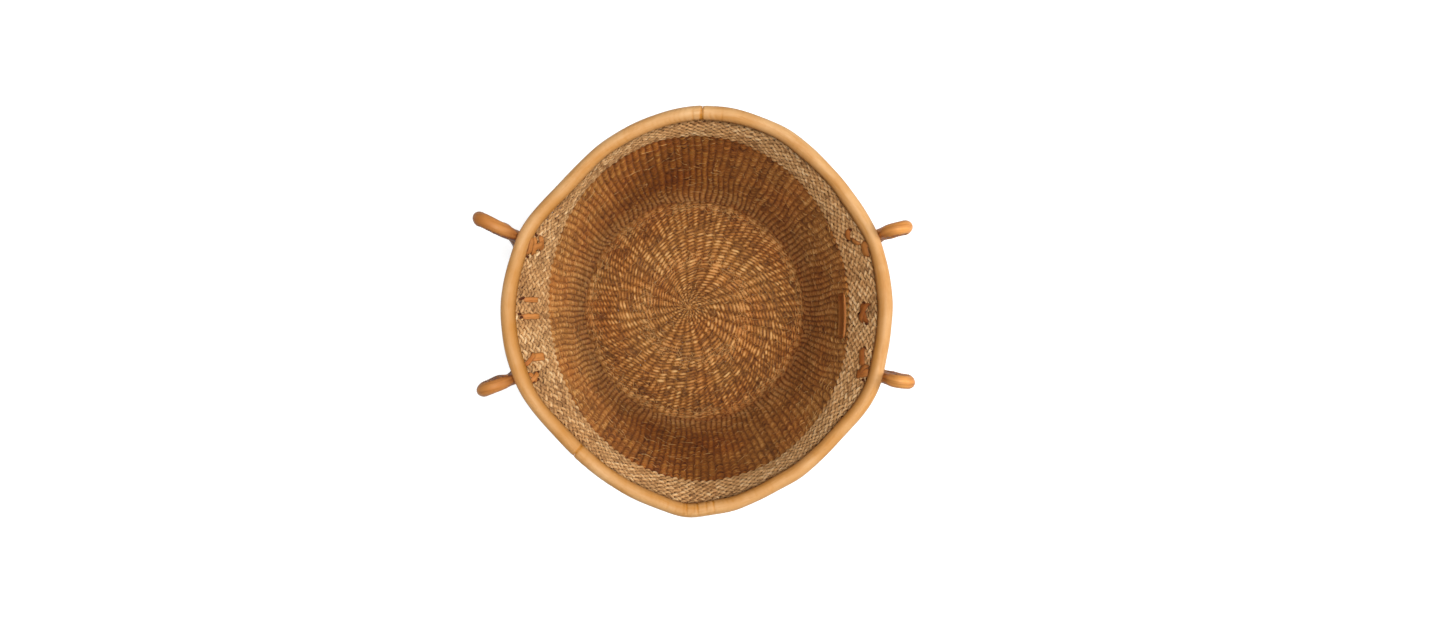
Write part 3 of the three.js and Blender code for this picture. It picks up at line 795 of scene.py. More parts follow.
@dataclass(frozen=True)
class PaintedLightPlan:
    """Painted light and shade on the yarn: where its tone is raised or lowered, and where its tint is deeper
    and more saturated. Places are profile lengths or angles.

    Attributes:
        band_glow: Angle, width and gain of the painted light on the band's stretch at the front.
        band_lean: Angle and gain of the painted light that changes slowly round the band.
        band_loss: What the whole band loses.
        low_wall: Ranges where the pale low wall begins and ends.
        low_gain: What the low wall gains.
        base: Ranges where the painted shade on the base begins and ends.
        base_loss: What the base loses, and how much less it loses at the back.
        high_wall: Range over which painted light makes the sides of the wall paler.
        side_gains: What the right and the left side gain.
        ring: Place, width and depth of the painted shade in the ring round the base's corner.
        deep_wall: Range over which the painted shade on the wall comes in.
        wall_shade_round: Shares of the cosines of the angle times 0, 1, 2, 3 and 4.
    """

    band_glow: tuple[float, float, float] = (np.radians(-55.0), 0.5, 0.15)
    band_lean: tuple[float, float] = (np.radians(15.0), 0.06)
    band_loss: float = 0.02
    low_wall: tuple[tuple[float, float], ...] = ((126.0 * MM, 148.0 * MM), (180.0 * MM, 235.0 * MM))
    low_gain: float = 0.3
    base: tuple[tuple[float, float], ...] = ((15.0 * MM, 60.0 * MM), (110.0 * MM, 140.0 * MM))
    base_loss: tuple[float, float] = (0.035, 0.025)
    high_wall: tuple[float, float] = (160.0 * MM, 250.0 * MM)
    side_gains: tuple[float, float] = (0.1, 0.05)
    ring: tuple[float, float, float] = (118.0 * MM, 18.0 * MM, 0.4)
    deep_wall: tuple[float, float] = (160.0 * MM, 235.0 * MM)
    wall_shade_round: tuple[float, ...] = (0.55, -0.07, -0.34, 0.14, 0.07)

    def painted_gain(self, length: Array, angle: Array, undyed: bool) -> Array:
        """How much painted light raises the yarn above its mean tone; where it is negative, it is painted
        shade.

        The band's gain is a bell round its pale stretch and a cosine. The dyed weave gains low on the wall
        and, further up, to its sides by the cube of the cosine, and loses on the base, most in front.

        Args:
            length: Profile length from the middle of the base.
            angle: Angle round the basket.
            undyed: True on the band.

        Returns:
            What the tone gains.
        """
        if undyed:
            place, width, gain = self.band_glow
            front = gain * hump(wrap(angle - place), width)
            return front + self.band_lean[1] * np.cos(angle - self.band_lean[0]) - self.band_loss
        sides = self.side_gains[0] * np.maximum(np.cos(angle), 0.0) ** 3
        sides = sides + self.side_gains[1] * np.maximum(-np.cos(angle), 0.0) ** 3
        gain = self.low_gain * between(length, *self.low_wall) + smoothstep(length, *self.high_wall) * sides
        return gain - between(length, *self.base) * (self.base_loss[0] - self.base_loss[1] * np.sin(angle))

    def painted_shade_depth(self, length: Array, angle: Array) -> Array:
        """How deep the painted shade is: a bell in the ring round the base's corner, and on the wall a sum of
        cosines of the angle.
        """
        place, width, depth = self.ring
        wall = sum(share * np.cos(times * angle) for times, share in enumerate(self.wall_shade_round))
        return depth * hump(length - place, width) + smoothstep(length, *self.deep_wall) * wall


@dataclass
class TwinedBody:
    """Woven body: two strands of sisal yarn that twine round upright stakes in one long spiral.

    The uneven values are the spread of hand work from stitch to stitch. The tones say how the brightness is
    made up: the mean, its limits, and the shares of each batch of yarn, each column and each stitch. The
    row-edge shade and the stakes' tone are painted shade.
    """

    shape: BodyShape
    # Painted light and shade on the yarn's tone and tint, by place
    dye: PaintedLightPlan = PaintedLightPlan()
    row_pitch: float = 4.0 * MM
    depth: float = 1.9 * MM
    rise: float = 1.3 * MM
    slim: float = 1.4 * MM
    broad: float = 2.05 * MM
    half_thick: float = 1.25 * MM
    dive: float = 0.65
    sway: float = 0.011
    wander: float = 0.8 * MM
    flutter: float = 0.12 * MM
    uneven_depth: float = 0.12
    uneven_height: float = 0.32 * MM
    uneven_width: float = 0.12
    mean_tone: float = 0.66
    tone_limits: tuple[float, float] = (0.08, 1.3)
    batch_tone: float = 0.08
    column_tone: float = 0.1
    stitch_tone: float = 0.24
    corner_tone: float = 0.14
    corner_place: tuple[float, float] = (145.0 * MM, 40.0 * MM)
    fuzz_tone: float = 0.35
    edge_tone: float = 0.25
    yarn_lay: float = 16.0 * MM
    stake_thick: float = 0.8 * MM
    stake_fill: float = 0.52
    stake_step: float = 5.0 * MM
    stake_shade_tone: float = 0.05
    start_angle: float = 1.9
    wall_pieces: int = 4
    fibre_count: int = 2600
    fibre_rings: tuple[float, float] = (63.0 * MM, 131.0 * MM)
    fibre_shares: tuple[float, float] = (0.22, 0.52)
    fibre_spread: float = 5.0 * MM
    fibre_reach: tuple[float, float] = (4.0 * MM, 13.0 * MM)
    fibre_curl: float = 0.35
    fibre_lift: tuple[float, float] = (0.1 * MM, 1.3 * MM)
    fibre_root: float = 2.9 * MM
    fibre_thick: tuple[float, float] = (0.18 * MM, 0.36 * MM)
    fibre_tone: tuple[float, float] = (0.7, 1.25)

    def zones(self) -> dict[str, list[TwiningZone]]:
        """Zones of each part, from the middle of the base up to the rim, with more stakes further out."""
        corner = self.shape.length_at(self.shape.corner_top)
        line = self.shape.length_at(self.shape.band_line)
        top = self.shape.length_at(self.shape.rim_height) - 2.0 * MM
        heart, ring, ribs = 9.5 * MM, 62.0 * MM, 98.0 * MM
        return {
            "heart": [TwiningZone(12, 2, 1.5 * MM, heart, 6), TwiningZone(24, 13, heart, ring, 8)],
            "ribs": [TwiningZone(48, 9, ring, ribs, 6)],
            "edge": [TwiningZone(96, 12, ribs, corner, 5)],
            "wall": [TwiningZone(144, 50, corner, line, gap_shades=(0.05, 0.5))],
            "band": [TwiningZone(144, 13, line, top, gap_shades=(0.8, 0.75), undyed=True, stagger=0.5)],
        }

    def swayed(self, angle: Array, height: Array) -> Array:
        """Angles of the columns at heights in rows: they sway smoothly, fully from the ninth row on."""
        return angle + self.sway * drift(angle, 0.6 * height, 17) * smoothstep(height, 1.0, 9.0)

    def strands(self, zone: TwiningZone, first: int, last: int, seed: int) -> Tubes:
        """The two strands of a zone between two counts of stitches.

        The count runs on along the spiral, and the phase is pi times it. The strands stand off mid-weave
        by plus and minus the depth times the phase's cosine, flattened so that they lie long on the faces
        and dive steeply, and off the row's middle by plus and minus the rise times its sine, so they twine
        round each stake. Their section is an ellipse that is broad on the faces and slim where they cross.
        Painted shade lowers the tone where a strand dives between columns and towards the edges of its row.

        Args:
            zone: The zone.
            first: Count of stitches at the beginning.
            last: Count of stitches at the end.
            seed: Seed of the unevenness.

        Returns:
            Two tubes with stitch tones.
        """
        rng = np.random.default_rng(seed)
        u = first + np.arange((last - first) * zone.per_stitch + 1) / zone.per_stitch
        count = u * (1.0 + zone.stagger / zone.stitches)
        phase = np.pi * count
        lie = np.cos(phase) / np.hypot(np.cos(phase), self.dive * np.sin(phase))
        face = lie**2
        angle = self.start_angle + TURN * u / zone.stitches
        row = u / zone.stitches
        middle = zone.start + (zone.end - zone.start) * row / zone.turns
        height = middle / self.row_pitch
        angle = self.swayed(angle, height)
        middle = middle + self.wander * drift(angle, height, 12)
        middle = middle + self.flutter * waves(u, seed + 2, 0.02, 0.2)
        sign = np.array([1.0, -1.0])[:, None]
        stitch = np.rint(count).astype(int)
        uneven = rng.normal(0.0, 1.0, (4, 2, stitch[-1] - stitch[0] + 2))[:, :, stitch - stitch[0]]
        slant = np.where(np.floor(row) % 2 == 0, 1.0, -1.0) if zone.undyed else 1.0
        off = sign * self.depth * lie * (1.0 + self.uneven_depth * uneven[0])
        high = sign * slant * self.rise * np.sin(phase) + self.uneven_height * uneven[1] * face
        half = (self.slim + (self.broad - self.slim) * face) * (1.0 + self.uneven_width * uneven[2])
        turn = round_section(6)[0] + np.pi / 6
        length = (middle + high)[..., None] + half[..., None] * np.cos(turn)
        out = off[..., None] + self.half_thick * np.sin(turn)
        points = self.shape.place(length, angle[:, None], out)
        batch = self.batch_tone * waves(row * 5.0, seed + 3, 0.1, 1.2)
        batch = batch + self.batch_tone * drift(angle, height, 40)
        rings = sum(hump(middle - ring, self.fibre_spread / 2) for ring in self.fibre_rings)
        columns = np.random.default_rng(zone.stitches).normal(0.0, self.column_tone, zone.stitches)
        slack = self.fuzz_tone * rings * (uneven[0] > 0.1) + columns[stitch % zone.stitches]
        # Painted light raises the tone by place, and painted shade lowers it
        slack = slack + self.dye.painted_gain(middle, angle, zone.undyed)
        at_corner = hump(middle - self.corner_place[0], self.corner_place[1])
        varied = (self.stitch_tone + self.corner_tone * at_corner) * uneven[3]
        bright = np.clip(self.mean_tone + varied + batch + slack, *self.tone_limits)
        # Painted shade: the tone falls where a strand dives between columns and towards the edges of its row
        gap_shade = np.interp(middle, (zone.start, zone.end), zone.gap_shades)
        across = self.edge_tone + (1.0 - self.edge_tone) * np.sin(turn) ** 2
        tone = (bright * (gap_shade + (1.0 - gap_shade) * face))[..., None] * across
        # Painted shade: a deeper, more saturated tint on the wall and round the base's corner
        deep = 0.0 if zone.undyed else self.dye.painted_shade_depth(middle, angle)[:, None]
        return Tubes(points, {"tone": tone, "deep": np.broadcast_to(deep, tone.shape)}, self.yarn_lay)

    def stakes(self) -> list[Tubes]:
        """Stakes under the strands: a flat section that fills most of its column, carried up the profile,
        painted dark as the shade behind the strands.
        """
        sheaves = []
        _, cos, sin = round_section(6)
        for zone in sum(self.zones().values(), []):
            steps = max(4, int((zone.end - zone.start) / self.stake_step))
            angle = self.start_angle + TURN * np.arange(zone.stitches) / zone.stitches
            length = np.linspace(zone.start, zone.end, steps)[None, :, None]
            height = np.broadcast_to(length / self.row_pitch, (zone.stitches, steps, 1))
            upright = self.swayed(np.broadcast_to(angle[:, None, None], height.shape), height)
            wide = upright + self.stake_fill * TURN / zone.stitches * cos
            points = self.shape.place(np.broadcast_to(length, wide.shape), wide, self.stake_thick * sin)
            # Painted shade: the stakes stand for the shade in the gaps behind the strands
            dark = even(self.stake_shade_tone)
            sheaves.append(Tubes(points, {"tone": dark, "deep": dark}))
        return sheaves

    def knot(self) -> Tubes:
        """Knot that closes the middle of the base: round rings that shrink into a low dome."""
        turn, _, _ = round_section(12)
        size = np.array([3.4, 3.6, 2.9, 1.0])[:, None] * MM
        height = np.array([0.3, 3.6, 4.7, 5.2])[:, None] * MM
        tone = np.array([0.1, 0.3, 0.5, 0.6])[None, :, None]
        points = turned(size, turn, height) + np.array(self.shape.heart_off)
        return Tubes(points[None], {"tone": tone, "deep": even(0.0)})

    def fibres(self) -> Tubes:
        """Loose fibre ends on the inside: tapered hairs that bow off the weave, most in two rings.

        Each hair leaves its root in its own direction along the surface, curls aside with the square of
        the way along it and rises off the weave as half a sine.
        """
        rng = np.random.default_rng(71)
        column = (self.fibre_count, 1)
        profile = self.shape.profile
        kind = rng.uniform(0.0, 1.0, column)
        top = self.shape.length_at(self.shape.band_line)
        inner, outer = (rng.normal(ring, self.fibre_spread, column) for ring in self.fibre_rings)
        anywhere = rng.uniform(8.0 * MM, top, column)
        to_inner, to_outer = self.fibre_shares
        root = np.where(kind < to_inner, inner, np.where(kind < to_outer, outer, anywhere))
        angle = rng.uniform(0.0, TURN, column)
        heading = rng.uniform(0.0, TURN, column)
        reach = rng.uniform(*self.fibre_reach, column)
        curl = rng.normal(0.0, self.fibre_curl, column)
        lift = rng.uniform(*self.fibre_lift, column)
        t = np.linspace(0.0, 1.0, 6)
        ahead, aside = reach * t, reach * curl * t**2
        length = root + ahead * np.cos(heading) - aside * np.sin(heading)
        sideways = ahead * np.sin(heading) + aside * np.cos(heading)
        radius = np.maximum(np.interp(length, profile["length"], profile["radius"]), 6.0 * MM)
        off = -(self.fibre_root + lift * np.sin(np.pi * (0.15 + 0.85 * t)))
        path = self.shape.place(np.maximum(length, 3.0 * MM), angle + sideways / radius, off)
        thin = (rng.uniform(*self.fibre_thick, column) * (1.0 - 0.7 * t))[..., None]
        _, cos, sin = round_section(3)
        points = sweep(path, np.array([0.31, 0.17, 0.93]), thin * cos, thin * sin)
        return Tubes(points, {"tone": rng.uniform(*self.fibre_tone, column)[..., None]})

    def dress(self) -> None:
        """Makes the pieces: the base in three, the wall in four, the band, the stakes and the fibres."""
        zones = self.zones()
        for name, seed in (("heart", 11), ("ribs", 21), ("edge", 25)):
            runs = [self.strands(z, 0, z.stitches * z.turns, seed + i) for i, z in enumerate(zones[name])]
            fit_piece(f"base_{name}", runs, Finish.DYED_SISAL, "basket", "base_disc")
        wall, parts = zones["wall"][0], self.wall_pieces
        cuts = [round(part * wall.turns / parts) * wall.stitches for part in range(parts + 1)]
        for part, (first, last) in enumerate(zip(cuts, cuts[1:])):
            run = [self.strands(wall, first, last, 31 + 7 * part)]
            fit_piece(f"wall_weave_{part + 1}", run, Finish.DYED_SISAL, "basket", "side_wall")
        band = zones["band"][0]
        run = [self.strands(band, 0, band.stitches * band.turns, 91)]
        fit_piece("band_weave", run, Finish.NATURAL_SISAL, "basket", "pale_band")
        fit_piece("warp_stakes", [*self.stakes(), self.knot()], Finish.DYED_SISAL, "basket")
        fit_piece("loose_fibres", [self.fibres()], Finish.DYED_SISAL, "basket")


@dataclass
class BoundRim:
    """Rim: a cord hoop on the edge of the weave, wrapped in two strips of leather that meet at seams.

    The shades are painted shade, drawn towards the crease colour: in pleats, creases and seams, at the
    outer and inner lip, each with its width, and at the sides, in front and on the inner half of the roll.
    """

    shape: BodyShape
    roll_radius: float = 6.8 * MM
    drawn_in: float = 0.6 * MM
    leather: float = 1.6 * MM
    slit: float = 3.3 * MM
    clearance: float = 0.3 * MM
    seams: tuple[float, float] = (np.radians(88.0), np.radians(230.0))
    pleats_above: tuple[float, ...] = (-2.6 * MM, 5.0 * MM, 24.0 * MM)
    pleats_below: tuple[float, ...] = (-11.0 * MM, -7.5 * MM, -1.5 * MM, 2.5 * MM, 10.0 * MM, 17.0 * MM)
    pleat_depths: tuple[float, ...] = (0.5, 0.9, 0.4, 1.0, 0.6, 0.8)
    pleat_slant: float = 1.6 * MM
    pleat_width: float = 0.9 * MM
    pleat_sink: float = 0.5 * MM
    crease_sink: float = 0.16 * MM
    pleated_reach: float = 0.2
    lumps: tuple[float, float] = (0.16 * MM, 0.2 * MM)
    lump_lengths: tuple[float, float] = (50.0 * MM, 100.0 * MM)
    seam_gap: float = 0.1 * MM
    seam_width: float = 0.007
    seam_sink: float = 0.5 * MM
    pleat_shade: float = 0.5
    crease_shade: float = 0.2
    seam_shade: float = 0.75
    outer_lip_shade: tuple[float, float] = (0.6, 0.22)
    inner_lip_shade: tuple[float, float] = (0.8, 0.45)
    side_shade: float = 0.27
    front_shade: float = 0.13
    inside_shade: float = 0.28
    most_shade: float = 0.9
    rings: tuple[int, int] = (420, 160)
    arc_sides: tuple[int, int] = (26, 14)
    cord_twist: float = 40.0

    def section_point(self, angle: Array, radius: Array, turn: Array) -> Array:
        """Points of the roll: a circle square to the leaning edge of the weave, stood out by the bulge."""
        size = np.hypot(1.0, self.shape.rim_flare)
        out_r, out_z = 1.0 / size, -self.shape.rim_flare / size
        across, along = radius * np.cos(turn), radius * np.sin(turn)
        reach = self.shape.rim_radius - self.drawn_in + across * out_r - along * out_z
        height = self.shape.rim_height + across * out_z + along * out_r
        return turned(reach + self.shape.bulge(angle, height), angle, height)

    def pleats(self, angle: Array, turn: Array) -> Array:
        """Depth of the pleats, 0 to 1: slanting bells at the back and front of the mouth, most inside."""
        across = self.shape.rim_radius * np.cos(angle)[:, None]
        back = np.sin(angle)[:, None] > 0
        depth = np.zeros((len(angle), len(turn)))
        for here, places in ((back, self.pleats_above), (~back, self.pleats_below)):
            for place, deep in zip(places, self.pleat_depths):
                lean = self.pleat_slant * (deep - 0.6) * (turn - np.pi / 2)
                bell = deep * hump(across + lean - place, self.pleat_width)
                depth = np.maximum(depth, np.where(here, bell, 0.0))
        return depth * (0.15 + 0.85 * smoothstep(turn, 0.35 * np.pi, 0.75 * np.pi))

    def creases(self, angle: Array, turn: Array, seed: int) -> Array:
        """Depth of the fine creases: peaks of two slanting noises, most at the back and front."""
        distance = angle[:, None] * self.shape.rim_radius + self.pleat_slant * np.sin(2.0 * turn)
        fine = np.maximum(waves(distance / 0.01, seed, 1.0, 2.6), 0.0)
        slow = 0.5 + 0.5 * waves(distance / 0.04 + turn, seed + 1, 0.3, 1.5)
        return np.clip(fine * slow, 0.0, 1.0) * (0.2 + 0.8 * np.sin(angle)[:, None] ** 4)

    def strip(self, start: float, end: float, seed: int) -> Tubes:
        """One strip of leather: an outer arc, turned back along an inner one, carried from seam to seam.

        Args:
            start: Angle of the first seam.
            end: Angle of the second seam.
            seed: Seed of its lumps.

        Returns:
            One tube with crease shades.
        """
        trim = self.seam_gap / self.shape.rim_radius
        low, high = start + trim, end - trim
        pleated = np.pi / 2 * np.array([1, 3, 5])
        fine = np.linspace(pleated - self.pleated_reach, pleated + self.pleated_reach, self.rings[1])
        fine = fine[(fine > low) & (fine < high)]
        angle = np.unique(np.concatenate([np.linspace(low, high, self.rings[0]), fine]))
        inside = self.roll_radius - self.leather
        lips = [np.arcsin(self.slit / r) - np.pi / 2 for r in (self.roll_radius, inside)]
        outer = np.linspace(lips[0], np.pi - lips[0], self.arc_sides[0])
        inner = np.linspace(np.pi - lips[1], lips[1], self.arc_sides[1])
        turn = np.concatenate([outer, inner])
        is_outer = np.repeat([1.0, 0.0], self.arc_sides)
        short, long = (angle * self.shape.rim_radius / length for length in self.lump_lengths)
        lump = self.lumps[0] * waves(short, seed, 0.2, 1.6)[:, None] * np.cos(turn - 1.2)
        lump = lump + self.lumps[1] * waves(long, seed + 1, 0.2, 1.5)[:, None]
        pleat = self.pleats(angle, turn)
        creases = self.creases(angle, turn, seed + 2)
        ends = (hump(angle - start, self.seam_width) + hump(angle - end, self.seam_width))[:, None]
        proud = lump - self.pleat_sink * pleat - self.seam_sink * ends - self.crease_sink * creases
        radius = np.where(is_outer > 0, self.roll_radius + proud, inside)
        points = self.section_point(angle[:, None], radius, turn)
        # Painted shade at the lips, where the roll meets the weave, and on the sides, the front and the inner
        # half of the roll
        lip = self.outer_lip_shade[0] * hump(turn - lips[0], self.outer_lip_shade[1])
        lip = lip + self.inner_lip_shade[0] * hump(turn - (np.pi - lips[0]), self.inner_lip_shade[1])
        front = np.maximum(-np.sin(angle), 0.0)
        shaded_round = (self.side_shade * np.cos(angle) ** 2 + self.front_shade * front**2)[:, None]
        shaded_round = shaded_round + self.inside_shade * smoothstep(turn, 0.55 * np.pi, 0.95 * np.pi)
        # Painted shade in the pleats, creases and seams, added to the rest
        shade = self.pleat_shade * pleat + self.crease_shade * creases + self.seam_shade * ends + lip + shaded_round
        shade = np.clip(shade, 0.0, self.most_shade) * is_outer
        return Tubes(points[None], {"shade": shade[None]})

    def cord(self) -> Tubes:
        """Hoop of three-strand cord: a section with three soft lobes that turn along the hoop."""
        angle = np.linspace(0.0, TURN, 360, endpoint=False)[:, None]
        turn, _, _ = round_section(18)
        size = self.roll_radius - self.leather - 2 * self.clearance
        lobes = size * cord_lobes(turn, self.cord_twist * angle)
        points = self.section_point(angle, lobes, turn)
        return Tubes(points[None], {"tone": even(0.5)}, looped=True)

    def dress(self) -> None:
        """Makes the hoop of cord and the two strips of leather."""
        fit_piece("rim_cord", [self.cord()], Finish.CORD, "basket", "rim_core")
        first, second = self.seams
        left = self.strip(first, second, 5)
        right = self.strip(second, first + TURN, 8)
        fit_piece("rim_leather_left", [left], Finish.RIM_LEATHER, "basket", "rim_binding_left")
        fit_piece("rim_leather_right", [right], Finish.RIM_LEATHER, "basket", "rim_binding_right")


class Side(Enum):
    """The two sides of the basket that carry handles."""

    LEFT = -1
    RIGHT = 1

    @property
    def word(self) -> str:
        """The side's name, as the nodes spell it."""
        return self.name.lower()


@dataclass(frozen=True)
class Leg:
    """One leg of a handle, which hangs askew.

    Attributes:
        word: Its name, as the nodes spell it.
        root: Distance of its root from the middle of the basket, positive at the back.
        spread: How much further from the middle it hangs than its root lies.
        hangs_out: How far outside the rim it hangs.
        bow: How far it bows away from the middle as it hangs.
    """

    word: str
    root: float
    spread: float
    hangs_out: float
    bow: float = 0.0


@dataclass
class RolledHandle:
    """One handle: leather rolled round a cord, seamed on its inner side, with tongues at both ends.

    The shades say how far the colour is drawn to the crease colour: painted shade where the roll leaves the
    rim, on the side of the loop that faces its middle, and along the seam and its lap, some with the width
    that they reach.
    """

    shape: BodyShape
    side: Side
    legs: tuple[Leg, Leg]
    radius: float = 6.0 * MM
    cord_radius: float = 3.9 * MM
    rim_roll_radius: float = 6.2 * MM
    lacing_below_rim: float = 17.0 * MM
    tongue_back: float = 3.5 * MM
    tongue_leather: float = 3.0 * MM
    tongue_half_width: float = 15.0 * MM
    tongue_neck: float = 7.0 * MM
    tongue_above: float = 7.0 * MM
    tongue_straight: float = 8.0 * MM
    foot_above_rim: float = 3.0 * MM
    bend_rise: float = 12.0 * MM
    leg_length: float = 100.0 * MM
    loop_depth: float = 85.0 * MM
    loop_drawn_in: float = 1.0 * MM
    loop_lean: float = 7.0 * MM
    loop_square: float = 0.8
    loop_middle: float = 110.0 * MM
    undersize: float = 0.2 * MM
    swell: float = 0.9 * MM
    facet: float = 0.13 * MM
    lump: float = 0.14 * MM
    lap: float = 0.3 * MM
    groove: float = 0.8 * MM
    cord_twist: float = 220.0
    root_shade: tuple[float, float] = (0.5, 9.0 * MM)
    loop_side_shade: float = 0.6
    seam_shade: tuple[float, float] = (0.8, 0.26)
    lap_shade: tuple[float, float] = (0.12, 0.6)
    left_tan: float = 0.32
    clearance: float = 0.3 * MM
    flex_margin: float = 6.4 * MM
    per_span: int = 24
    ring_pitch: float = 2.0 * MM
    sides: int = 24
    stitch_pitch: float = 6.5 * MM
    stitch_half: float = 1.5 * MM
    stitch_turn: float = 0.42
    thread_radius: float = 0.42 * MM

    def root_angle(self, leg: Leg) -> float:
        """Angle where a leg meets the rim, from its distance from the basket's middle."""
        angle = np.arcsin(leg.root / self.shape.rim_radius)
        return float(angle if self.side is Side.RIGHT else np.pi - angle)

    def leg_points(self, leg: Leg) -> Array:
        """One leg's points: up the tongue, past the roll, over the bend in half a turn, down to the loop."""
        shape = self.shape
        angle = self.root_angle(leg)
        lacing = shape.rim_height - self.lacing_below_rim
        on_tongue = self.tongue_back + self.clearance + self.radius
        beside_roll = self.rim_roll_radius + 2 * self.clearance + self.radius
        top = shape.rim_height + self.foot_above_rim
        low = top - self.leg_length
        middle = 0.0 if self.side is Side.RIGHT else np.pi
        rim_out = shape.rim_radius + float(shape.bulge(middle, shape.rim_height)) + self.rim_roll_radius
        hang = self.side.value * (rim_out + leg.hangs_out)
        foot_out = shape.rim_radius + float(shape.bulge(angle, shape.rim_height)) + beside_roll
        foot = np.array([foot_out * np.cos(angle), foot_out * np.sin(angle), top])
        outward = np.sign(leg.root)
        tip_across = leg.root + outward * leg.spread
        loop_across = tip_across - outward * self.loop_drawn_in
        tip = np.array([hang, tip_across, top])
        bend = foot + (tip - foot) * (1 - np.cos(QUARTERS)) / 2
        bend[:, 2] = top + self.bend_rise * np.sin(QUARTERS[:, 0])
        neck = [
            shape.wall_point(angle, lacing, on_tongue),
            shape.wall_point(angle, lacing + self.tongue_above, on_tongue + self.clearance),
            shape.wall_point(angle, shape.rim_height, beside_roll),
        ]
        lean, bow = self.side.value * self.loop_lean, outward * leg.bow
        half_way = [hang - 0.35 * lean, (tip_across + loop_across) / 2 + bow, (top + low) / 2]
        last = [hang - 0.8 * lean, loop_across + 0.7 * bow, low]
        return np.vstack([*neck, foot, bend, tip, half_way, last])

    @cached_property
    def line(self) -> Array:
        """The handle's middle line in fine steps, from the back tongue round the loop to the front one."""
        back, front = (self.leg_points(leg) for leg in self.legs)
        cos, sin = np.cos(QUARTERS), np.sin(QUARTERS)
        loop = back[-1] + (front[-1] - back[-1]) * (1 - np.sign(cos) * np.abs(cos) ** self.loop_square) / 2
        loop[:, 0] -= 0.2 * self.side.value * self.loop_lean
        loop[:, 2] = back[-1, 2] - self.loop_depth * sin[:, 0] ** self.loop_square
        return catmull_rom(np.vstack([back, loop, front[::-1]]), self.per_span)

    @cached_property
    def stations(self) -> Array:
        """Distances along the line where the necks, the bends and the grip begin and end, in order."""
        length = path_length(self.line)
        marks = np.array([0, 3, 7]) * self.per_span
        return length[np.concatenate([marks, len(length) - 1 - marks[::-1]])]

    def into_grip(self, distance: Array) -> Array:
        """How far inside the ends of the grip distances along the line are, negative outside it."""
        return np.minimum(distance - self.stations[2], self.stations[3] - distance)

    @cached_property
    def seam_side(self) -> Array:
        """Where the seam faces: to the loop's middle on the grip, across and a little up at the bends."""
        middle = self.line.mean(axis=0)
        middle[2] = self.shape.rim_height - self.loop_middle
        across = np.zeros_like(self.line)
        across[:, 1] = -np.sign(self.line[:, 1])
        across[:, 2] = 0.3
        hanging = smoothstep(self.into_grip(path_length(self.line)), 5.0 * MM, 70.0 * MM)[:, None]
        return unit(unit(middle - self.line) * hanging + unit(across) * (1.0 - hanging))

    def read(self, distance: Array, values: Array) -> Array:
        """Reads values that go with the line's samples, at distances along it."""
        length = path_length(self.line)
        return np.stack([np.interp(distance, length, values[:, axis]) for axis in range(3)], axis=-1)

    def leather_surface(self, distance: Array, turn: Array, lift: float) -> Array:
        """Points of the rolled leather.

        The section is a circle with soft lengthwise facets, a groove with a raised lap along the seam, and
        low lumps along its length. Near both ends it opens into a flat, broader strip on the tongue.

        Args:
            distance: Distance along the handle for each ring.
            turn: Turn from the seam for each ring and section point.
            lift: Distance off the surface.

        Returns:
            Points, rings by section points.
        """
        path = self.read(distance, self.line)
        inward = self.read(distance, self.seam_side)
        heading = self.read(distance, np.gradient(self.line, axis=0))
        end = np.minimum(distance, self.stations[-1] - distance)
        opened = (1.0 - smoothstep(end, 1.0 * MM, 15.0 * MM))[:, None]
        seam = wrap(turn)
        length = distance / 0.03
        facets = self.facet * np.cos(3.0 * turn + 0.8 * waves(length, 3, 0.1, 0.6)[:, None])
        lumps = self.lump * waves(length, 9, 0.3, 1.8)[:, None] * np.cos(turn - 2.0)
        lap = self.lap * between(seam, (-0.05, 0.2), (0.2, 1.1))
        groove = self.groove * hump(seam, 0.16) * (1.0 - opened)
        past_rim = smoothstep(end, self.stations[1] - 4.0 * MM, self.stations[1] + 12.0 * MM)
        slimmed = 1.0 - 0.8 * smoothstep(self.into_grip(distance), 5.0 * MM, 30.0 * MM)
        swell = self.swell * (past_rim * slimmed)[:, None]
        size = self.radius - self.undersize + swell + facets + lumps + lap - groove + lift
        path = path - unit(path * LEVEL) * opened * 0.66 * self.radius
        wide, flat = 1.0 + 0.75 * opened, 1.0 - 0.72 * opened
        return sweep(path, inward, size * wide * np.cos(turn), size * flat * np.sin(turn), heading)

    def roll(self, start: float, end: float) -> Tubes:
        """The leather roll between two distances, with painted shade in and round its seam, where it leaves
        the rim and on the loop's inner side.
        """
        rings = max(6, int((end - start) / self.ring_pitch))
        distance = np.linspace(start, end, rings)
        turn = np.broadcast_to(round_section(self.sides)[0] + 0.13, (rings, self.sides))
        seam = wrap(turn)
        foot = np.minimum(np.abs(distance - self.stations[1]), np.abs(distance - self.stations[4]))
        # Painted shade where the roll leaves the rim
        at_root = self.root_shade[0] * hump(foot, self.root_shade[1])
        root = at_root[:, None] * (0.6 + 0.4 * waves(turn, 14, 0.5, 1.5))
        # Painted shade on the side of the hanging loop that faces its middle
        down_the_loop = self.loop_side_shade * smoothstep(self.into_grip(distance), 4.0 * MM, 25.0 * MM)
        shaded_loop_side = down_the_loop[:, None] * (0.5 + 0.5 * np.cos(seam)) ** 2
        # The left handle is drawn darker all over
        tanned = self.left_tan if self.side is Side.LEFT else 0.0
        # Painted shade in the seam's groove and along its lap
        lapped = self.seam_shade[0] * hump(seam, self.seam_shade[1])
        lapped = lapped + self.lap_shade[0] * hump(seam - 0.3, self.lap_shade[1])
        shade = np.clip(tanned + shaded_loop_side + lapped + root, 0.0, 1.0)
        points = self.leather_surface(distance, turn, 0.0)
        return Tubes(points[None], {"shade": shade[None]})

